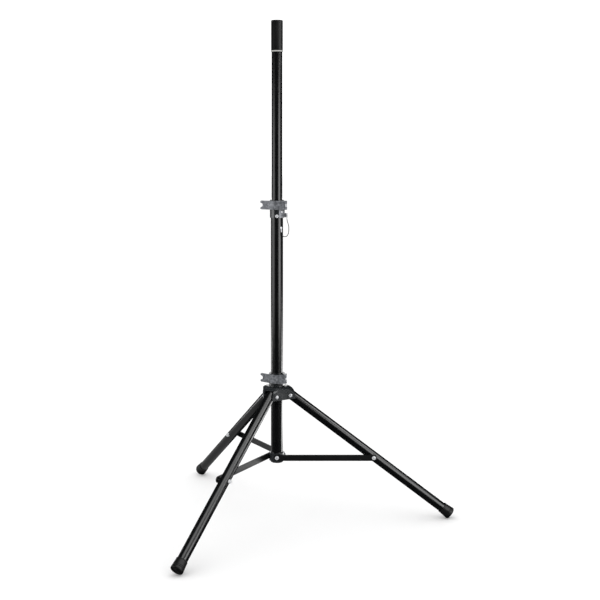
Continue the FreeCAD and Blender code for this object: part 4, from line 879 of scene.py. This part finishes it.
@dataclass
class CamLever:
    """A cast lever: a rimmed plate bent round the clamp, a forked tail and two knuckles."""

    prefix: str
    body: str
    hinge: str
    thick: float = 4.0 * MM
    rim: float = 2.6 * MM
    sunk: float = 0.9 * MM
    knuckle: float = 6.0 * MM
    pin_bore: float = 2.58 * MM
    corner: float = 5.0 * MM
    wrap: float = math.radians(40)
    tail: float = 46.0 * MM
    slot: float = 9.9 * MM
    slot_depth: float = 13.0 * MM
    notch: float = 0.21
    ridges: int = 4
    ridge_width: float = 2.2 * MM
    ridge_pitch: float = 5.0 * MM
    first_ridge: float = 16.0 * MM
    cheek_reach: float = 4.5 * MM
    cheek_gap: float = 3.6 * MM
    ease: float = 0.7 * MM
    bend_steps: int = 9

    def __post_init__(self) -> None:
        """Read the lever's box and its hinge from the frame."""
        self.low, self.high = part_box(self.prefix + "_lever")
        self.pivot = Vector(joint(self.hinge)["pos_m"])
        self.level = (self.low.z + self.high.z) / 2
        self.height = self.high.z - self.low.z
        self.radius = -self.low.y - self.thick / 2
        self.strip = self._path()

    def _path(self) -> Strip:
        """The plate's middle line, from the knuckles round the front to the tail."""
        side = self.high.x - self.thick / 2
        start = Vector((side, self.pivot.y))
        forward = self.radius - self.corner + self.pivot.y
        across = side - self.corner
        return Strip(start, -math.pi / 2, (
            (forward, 0.0),
            (self.corner * math.pi / 2, -math.pi / 2),
            (across, 0.0),
            (self.radius * self.wrap, -self.wrap),
            (self.tail, 0.0),
        ))

    def _bent(self, shell: Shell) -> Shell:
        """Wrap a flat shell round the path: X runs along it, Y up, Z out from the mast."""
        step = 1 / self.bend_steps
        passed = 0.0
        for length, turn in self.strip.runs:
            if turn:
                for number in range(self.bend_steps + 1):
                    place = passed + number * step * length
                    shell.cut_across(Vector((place, 0, 0)), Vector((1, 0, 0)))
            passed += length
        for vert in shell.mesh.verts:
            point, out = self.strip.at(vert.co.x)
            place = point + out * vert.co.z
            vert.co = (place.x, place.y, self.level + vert.co.y)
        return shell

    def _outline(self) -> list[tuple[float, float]]:
        """The plate laid flat: a notch in its tail, and a slot at its root for the bolt's eye."""
        half = self.height / 2
        end = self.strip.length
        notch = self.notch * self.height
        lobe = half - notch
        points = [(0.0, -half)]
        steps = 6
        for sign in (-1, 1):
            middle = sign * (notch + lobe / 2)
            for turn in range(steps + 1):
                angle = -math.pi / 2 + math.pi * turn / steps
                points.append((end - lobe / 2 + lobe / 2 * math.cos(angle),
                               middle + lobe / 2 * math.sin(angle)))
            if sign < 0:
                for turn in range(1, steps):
                    angle = -math.pi / 2 - math.pi * turn / steps
                    inner = end - lobe / 2 + notch * math.cos(angle)
                    points.append((inner, notch * math.sin(angle)))
        points.append((0.0, half))
        edge = self.slot / 2
        points += [(0.0, edge), (self.slot_depth, edge), (self.slot_depth, -edge), (0.0, -edge)]
        return points

    def _plate(self) -> Shell:
        """The rimmed plate."""
        shell = Shell.prism(self._outline(), self.thick)
        bmesh.ops.translate(shell.mesh, verts=shell.mesh.verts, vec=(0, 0, -self.thick / 2))
        shell.soften(self.ease, 2, 60)
        front = max(shell.mesh.faces, key=lambda face: face.calc_area() * (face.normal.z > 0.9))
        shell.recess(front, self.rim, self.sunk)
        return self._bent(shell)

    def _ridges(self) -> list[Shell]:
        """Finger ridges across the tail, a little lower than its rim."""
        made = []
        half = 0.34 * self.height
        root = self.thick / 2 - self.sunk - 0.3 * MM
        top = self.thick / 2 - 0.1 * MM
        for number in range(self.ridges):
            start = self.strip.length - self.first_ridge - self.ridge_pitch * number
            ridge = Shell.block(Vector((start, -half, root)),
                                Vector((start + self.ridge_width, half, top)))
            made.append(self._bent(ridge.soften(self.ease / 2, 2)))
        return made

    def _knuckles(self) -> list[Shell]:
        """Barrels above and below the bolt's eye, with the cheeks that carry them."""
        made = []
        half_slot = self.slot / 2
        tall = self.height / 2 - half_slot
        ring = [(self.pin_bore, 0), (self.knuckle, 0), (self.knuckle, tall), (self.pin_bore, tall)]
        front = -self.radius + self.thick / 2 - MM
        for bottom in (self.level - self.height / 2, self.level + half_slot):
            barrel = Shell.spun(ring, ring=True).soften(0.5 * MM)
            made.append(barrel.placed(Matrix.Translation((self.pivot.x, self.pivot.y, bottom))))
            low = Vector((self.pivot.x - self.cheek_reach, front, bottom))
            high = Vector((self.high.x - self.thick / 2, self.pivot.y - self.cheek_gap, bottom + tall))
            made.append(Shell.block(low, high).soften(0.6 * MM))
        return made

    def build(self) -> None:
        """Make the lever in place of its CAD node."""
        piece = Piece(self.prefix + "_cast_lever", SILVER_CASTING)
        piece.add(self._plate(), *self._ridges(), *self._knuckles())
        piece.finish_on(self.body, self.prefix + "_lever")


# -------- clamps and hub

@dataclass
class Castings:
    """Cast and moulded pieces that keep their CAD shape with eased edges."""

    eased: dict[str, tuple[str, Finish, float]] = field(default_factory=lambda: {
        "upper_clamp_band": ("mast", SILVER_CASTING, 0.8 * MM),
        "upper_clamp_collar": ("mast", BLACK_CASTING, 0.5 * MM),
        "bottom_collar": ("mast", BLACK_CASTING, 0.8 * MM),
        "pin_bracket": ("mast", SILVER_CASTING, 0.7 * MM),
        "hub_casting": ("hub", BLACK_CASTING, 1.5 * MM),
    })

    def build(self) -> None:
        """Make each casting from a merged copy of its node."""
        for node, (body, finish, width) in self.eased.items():
            shell = Shell.of_node(node).soften(width, 2, 40)
            Piece(node + "_cast", finish).add(shell).finish_on(body, node)


@dataclass
class Hardware:
    """Every screw, bolt, nut and rivet, with sockets, washers and thread ends."""

    tools: Fasteners = field(default_factory=Fasteners)
    pivot_head: float = 6.5 * MM
    pivot_shank: float = 4.0 * MM
    hub_bolt_reach: float = 23.8 * MM
    hub_bolt_sunk: float = 1.2 * MM
    hub_head_height: float = 4.0 * MM
    hub_nut_height: float = 5.5 * MM
    hub_thread: float = 7.0 * MM
    screw_inner_end: float = 20.0 * MM
    collar_head: float = 4.25 * MM
    collar_stem: float = 2.5 * MM
    clamp_thread: float = 3.0 * MM
    rivet_head: float = 1.7 * MM
    washer: float = 0.8 * MM
    pin_ease: float = 0.5 * MM

    def _extent(self, node: str, place: Matrix) -> tuple[float, float, float]:
        """Radius and ends of a round node along the Z axis of a frame.

        Args:
            node: name of the node.
            place: a frame whose Z is the node's axis.

        Returns:
            Radius, low end and high end.
        """
        low, high = seen_from(node, place)
        return max(high.x, high.y), low.z, high.z

    def brace_ends(self, number: int) -> None:
        """Bolt, stud and nut where a brace meets its leg."""
        turn = about_mast(number)
        outward = turn @ Vector((0, -1, 0))
        pivot = turn @ Vector((centre("brace_bolt_1").x, 0, centre("brace_bolt_1").z))
        place = facing(pivot, outward)
        radius, low, high = self._extent(f"brace_bolt_{number}", place)
        bar = seen_from(f"brace_{number}", place)[1].z
        head = self.tools.socket_head(radius, high - bar)
        shank = Shell.spun([(0, low), (0.6 * radius, low), (0.6 * radius, bar), (0, bar)])
        bolt = Piece(f"brace_bolt_{number}_socket_head", ZINC)
        bolt.add(head.placed(place @ Matrix.Translation((0, 0, bar))), shank.placed(place))
        bolt.finish_on(f"brace_arm_{number}", f"brace_bolt_{number}")

        inward = facing(pivot, -outward)
        radius, low, high = self._extent(f"brace_nut_{number}", inward)
        thread = self._extent(f"brace_stud_{number}", inward)[0]
        nut = Piece(f"brace_nut_{number}_locking", ZINC)
        under = inward @ Matrix.Translation((0, 0, low - self.washer / 2))
        nut.add(self.tools.washer(radius, thread, self.washer).placed(under))
        seat = inward @ Matrix.Translation((0, 0, low))
        nut.add(self.tools.hex_nut(radius, high - low, thread).placed(seat))
        nut.finish_on(f"leg_{number}", f"brace_nut_{number}")

    def collar_screws(self) -> None:
        """The three screws on which the braces turn."""
        screws = Piece("brace_pivot_socket_screws", ZINC)
        level = joint("brace_fold_1")["pos_m"][2]
        top = -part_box("brace_pivot_screws")[0].y
        for number in LEGS:
            turn = about_mast(number)
            place = facing(turn @ Vector((0, 0, level)), turn @ Vector((0, -1, 0)))
            face = seen_from(f"brace_{number}", place)[1].z + 0.3 * MM
            head = self.tools.socket_head(self.pivot_head, top - face)
            screws.add(head.placed(place @ Matrix.Translation((0, 0, face))))
            stem = Shell.spun([(0, self.screw_inner_end), (self.pivot_shank, self.screw_inner_end),
                               (self.pivot_shank, face), (0, face)])
            screws.add(stem.placed(place))
        screws.finish_on("mast", "brace_pivot_screws")

    def hub_bolts(self) -> None:
        """Bolts and nuts of the three leg pivots."""
        bolts = Piece("leg_pivot_socket_bolts", ZINC)
        nuts = Piece("leg_pivot_lock_nuts", ZINC)
        pivot = Vector(joint("leg_fold_1")["pos_m"])
        ahead = facing(pivot, Vector((0, -1, 0)))
        behind = facing(pivot, Vector((0, 1, 0)))
        reach = self.hub_bolt_reach
        radius = self.pivot_shank
        seat = Matrix.Translation((0, 0, reach - self.hub_bolt_sunk))
        for number in LEGS:
            front = about_mast(number) @ ahead
            back = about_mast(number) @ behind @ seat
            head = self.tools.socket_head(self.pivot_head, self.hub_head_height)
            shank = Shell.spun([(0, -reach), (radius, -reach), (radius, reach), (0, reach)])
            thread = self.tools.thread_end(radius, self.hub_thread)
            bolts.add(head.placed(front @ seat), shank.placed(front), thread.placed(back))
            nut = self.tools.hex_nut(self.pivot_head, self.hub_nut_height, radius)
            nuts.add(nut.placed(back))
        bolts.finish_on("hub", "leg_pivot_bolts")
        nuts.finish_on("hub", "leg_pivot_nuts")

    def clamp_hardware(self, prefix: str, body: str) -> None:
        """Nut and pin of a clamp."""
        back = facing(centre(prefix + "_nut"), Vector((0, 1, 0)))
        radius, low, high = self._extent(prefix + "_nut", back)
        nut = Piece(prefix + "_lock_nut", ZINC)
        seat = back @ Matrix.Translation((0, 0, low))
        nut.add(self.tools.hex_nut(radius, high - low, self.clamp_thread).placed(seat))
        nut.finish_on(body, prefix + "_nut")
        upright = Matrix.Translation(centre(prefix + "_lever_pin"))
        radius, low, high = self._extent(prefix + "_lever_pin", upright)
        ease = self.pin_ease
        skin = Shell.spun([(0, low), (radius - ease, low), (radius, low + ease),
                           (radius, high - ease), (radius - ease, high), (0, high)])
        pin = Piece(prefix + "_hinge_pin", ZINC).add(skin.placed(upright))
        pin.finish_on(body, prefix + "_lever_pin")

    def collar_front(self) -> None:
        """Socket screw at the front of the upper collar."""
        place = facing(centre("collar_screw"), Vector((0, -1, 0)))
        radius, low, high = self._extent("collar_screw", place)
        face = high - self.collar_head
        stem = Shell.spun([(0, low), (self.collar_stem, low), (self.collar_stem, face), (0, face)])
        head = self.tools.socket_head(radius, high - face)
        screw = Piece("collar_socket_screw", ZINC)
        screw.add(head.placed(place @ Matrix.Translation((0, 0, face))), stem.placed(place))
        screw.finish_on("mast", "collar_screw")

    def lanyard_end(self) -> None:
        """The domed rivet that holds the lanyard on the mast."""
        middle = centre("lanyard_rivet")
        outward = Vector((middle.x, middle.y, 0)).normalized()
        place = facing(Vector((0, 0, middle.z)), outward)
        radius, low, high = self._extent("lanyard_rivet", place)
        seat = high - self.rivet_head
        stem = Shell.spun([(0, low), (radius / 2, low), (radius / 2, seat), (0, seat)])
        rivet = Piece("lanyard_domed_rivet", ZINC)
        rivet.add(self.tools.domed_head(radius, high - seat).placed(
            place @ Matrix.Translation((0, 0, seat))), stem.placed(place))
        rivet.finish_on("mast", "lanyard_rivet")

    def build(self) -> None:
        """Make all of it."""
        self.collar_screws()
        for number in LEGS:
            self.brace_ends(number)
        self.hub_bolts()
        self.clamp_hardware("upper_clamp", "mast")
        self.clamp_hardware("hub_clamp", "hub")
        self.collar_front()
        self.lanyard_end()


# -------- legs

@dataclass
class Foot:
    """A rubber boot with a beaded mouth, two grooves round it and three rings in its tread."""

    number: int
    bead: float = 3.2 * MM
    groove: float = 0.6 * MM
    groove_half: float = 0.5 * MM
    groove_reach: float = 1.2 * MM
    groove_places: tuple[float, ...] = (0.60, 0.72)
    flare: float = 2.0 * MM
    rounding: float = 4.0 * MM
    ring_depth: float = 0.8 * MM
    ring_reach: float = 1.2 * MM
    ring_places: tuple[float, ...] = (0.78, 0.56, 0.34)
    floor: float = 6.0 * MM

    def build(self) -> None:
        """Spin the boot on its leg."""
        place = along_leg(self.number)
        low, high = seen_from(f"foot_{self.number}", place)
        leg = seen_from(f"leg_tube_{self.number}", place)[1].y
        mouth, end = low.z, high.z
        wide = high.y
        narrow = wide - self.flare
        taper = (wide - narrow) / (end - mouth)

        def skin(height: float) -> float:
            """Radius of the boot's outer skin at a height."""
            return narrow + taper * (height - mouth)

        profile = [(leg, mouth + 0.6 * MM), (leg + 0.8 * MM, mouth), (narrow - 0.6 * MM, mouth),
                   (narrow, mouth + 0.8 * MM), (narrow, mouth + self.bead - 0.6 * MM),
                   (narrow - 0.5 * MM, mouth + self.bead)]
        for share in self.groove_places:
            height = mouth + share * (end - mouth)
            before, after = height - self.groove_reach, height + self.groove_reach
            profile += [(skin(before), before),
                        (skin(height) - self.groove, height - self.groove_half),
                        (skin(height) - self.groove, height + self.groove_half),
                        (skin(after), after)]
        arc = 6
        tread = skin(end - self.rounding) - self.rounding + 0.15 * MM
        for step in range(arc + 1):
            angle = step / arc * math.pi / 2
            profile.append((tread + self.rounding * math.cos(angle),
                            end - self.rounding + self.rounding * math.sin(angle)))
        depth, reach = self.ring_depth, self.ring_reach
        for share in self.ring_places:
            radius = share * tread
            profile += [(radius + reach, end), (radius + depth, end - depth),
                        (radius - depth, end - depth), (radius - reach, end)]
        profile += [(0, end), (0, end - self.floor), (leg, end - self.floor)]
        boot = Shell.spun(profile, ring=True, steps=48).placed(place)
        made = Piece(f"foot_{self.number}_boot", RUBBER).add(boot)
        made.finish_on(f"leg_{self.number}", f"foot_{self.number}")


@dataclass
class Brace:
    """A flat steel bar with round ends and eased edges."""

    number: int
    ease: float = 0.7 * MM

    def build(self) -> None:
        """Ease the edges of the CAD bar."""
        node = f"brace_{self.number}"
        shell = Shell.of_node(node).soften(self.ease, 3, 50)
        Piece(node + "_bar", BLACK_BAR).add(shell).finish_on(f"brace_arm_{self.number}", node)


# -------- the whole

def dress_nodes() -> None:
    """Give each CAD node that still shows the finish of its material slot."""
    for part in frame["record"]["subparts"]:
        node = frame["nodes"][part["node"]]
        if node.hide_render:
            continue
        material = FINISHES[part["material_slot"]].material()
        for slot in node.material_slots:
            slot.material = material


def main() -> None:
    """Build the studio and every piece of the stand."""
    logging.basicConfig(level=logging.INFO, format="%(name)s %(message)s")
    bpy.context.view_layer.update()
    Studio().build()
    Lanyard().build()
    CamLever("upper_clamp", "upper_lever", "upper_lever_turn").build()
    CamLever("hub_clamp", "hub_lever", "hub_lever_turn").build()
    Castings().build()
    Hardware().build()
    for number in LEGS:
        Foot(number).build()
        Brace(number).build()
    dress_nodes()


if __name__ == "__main__":
    main()
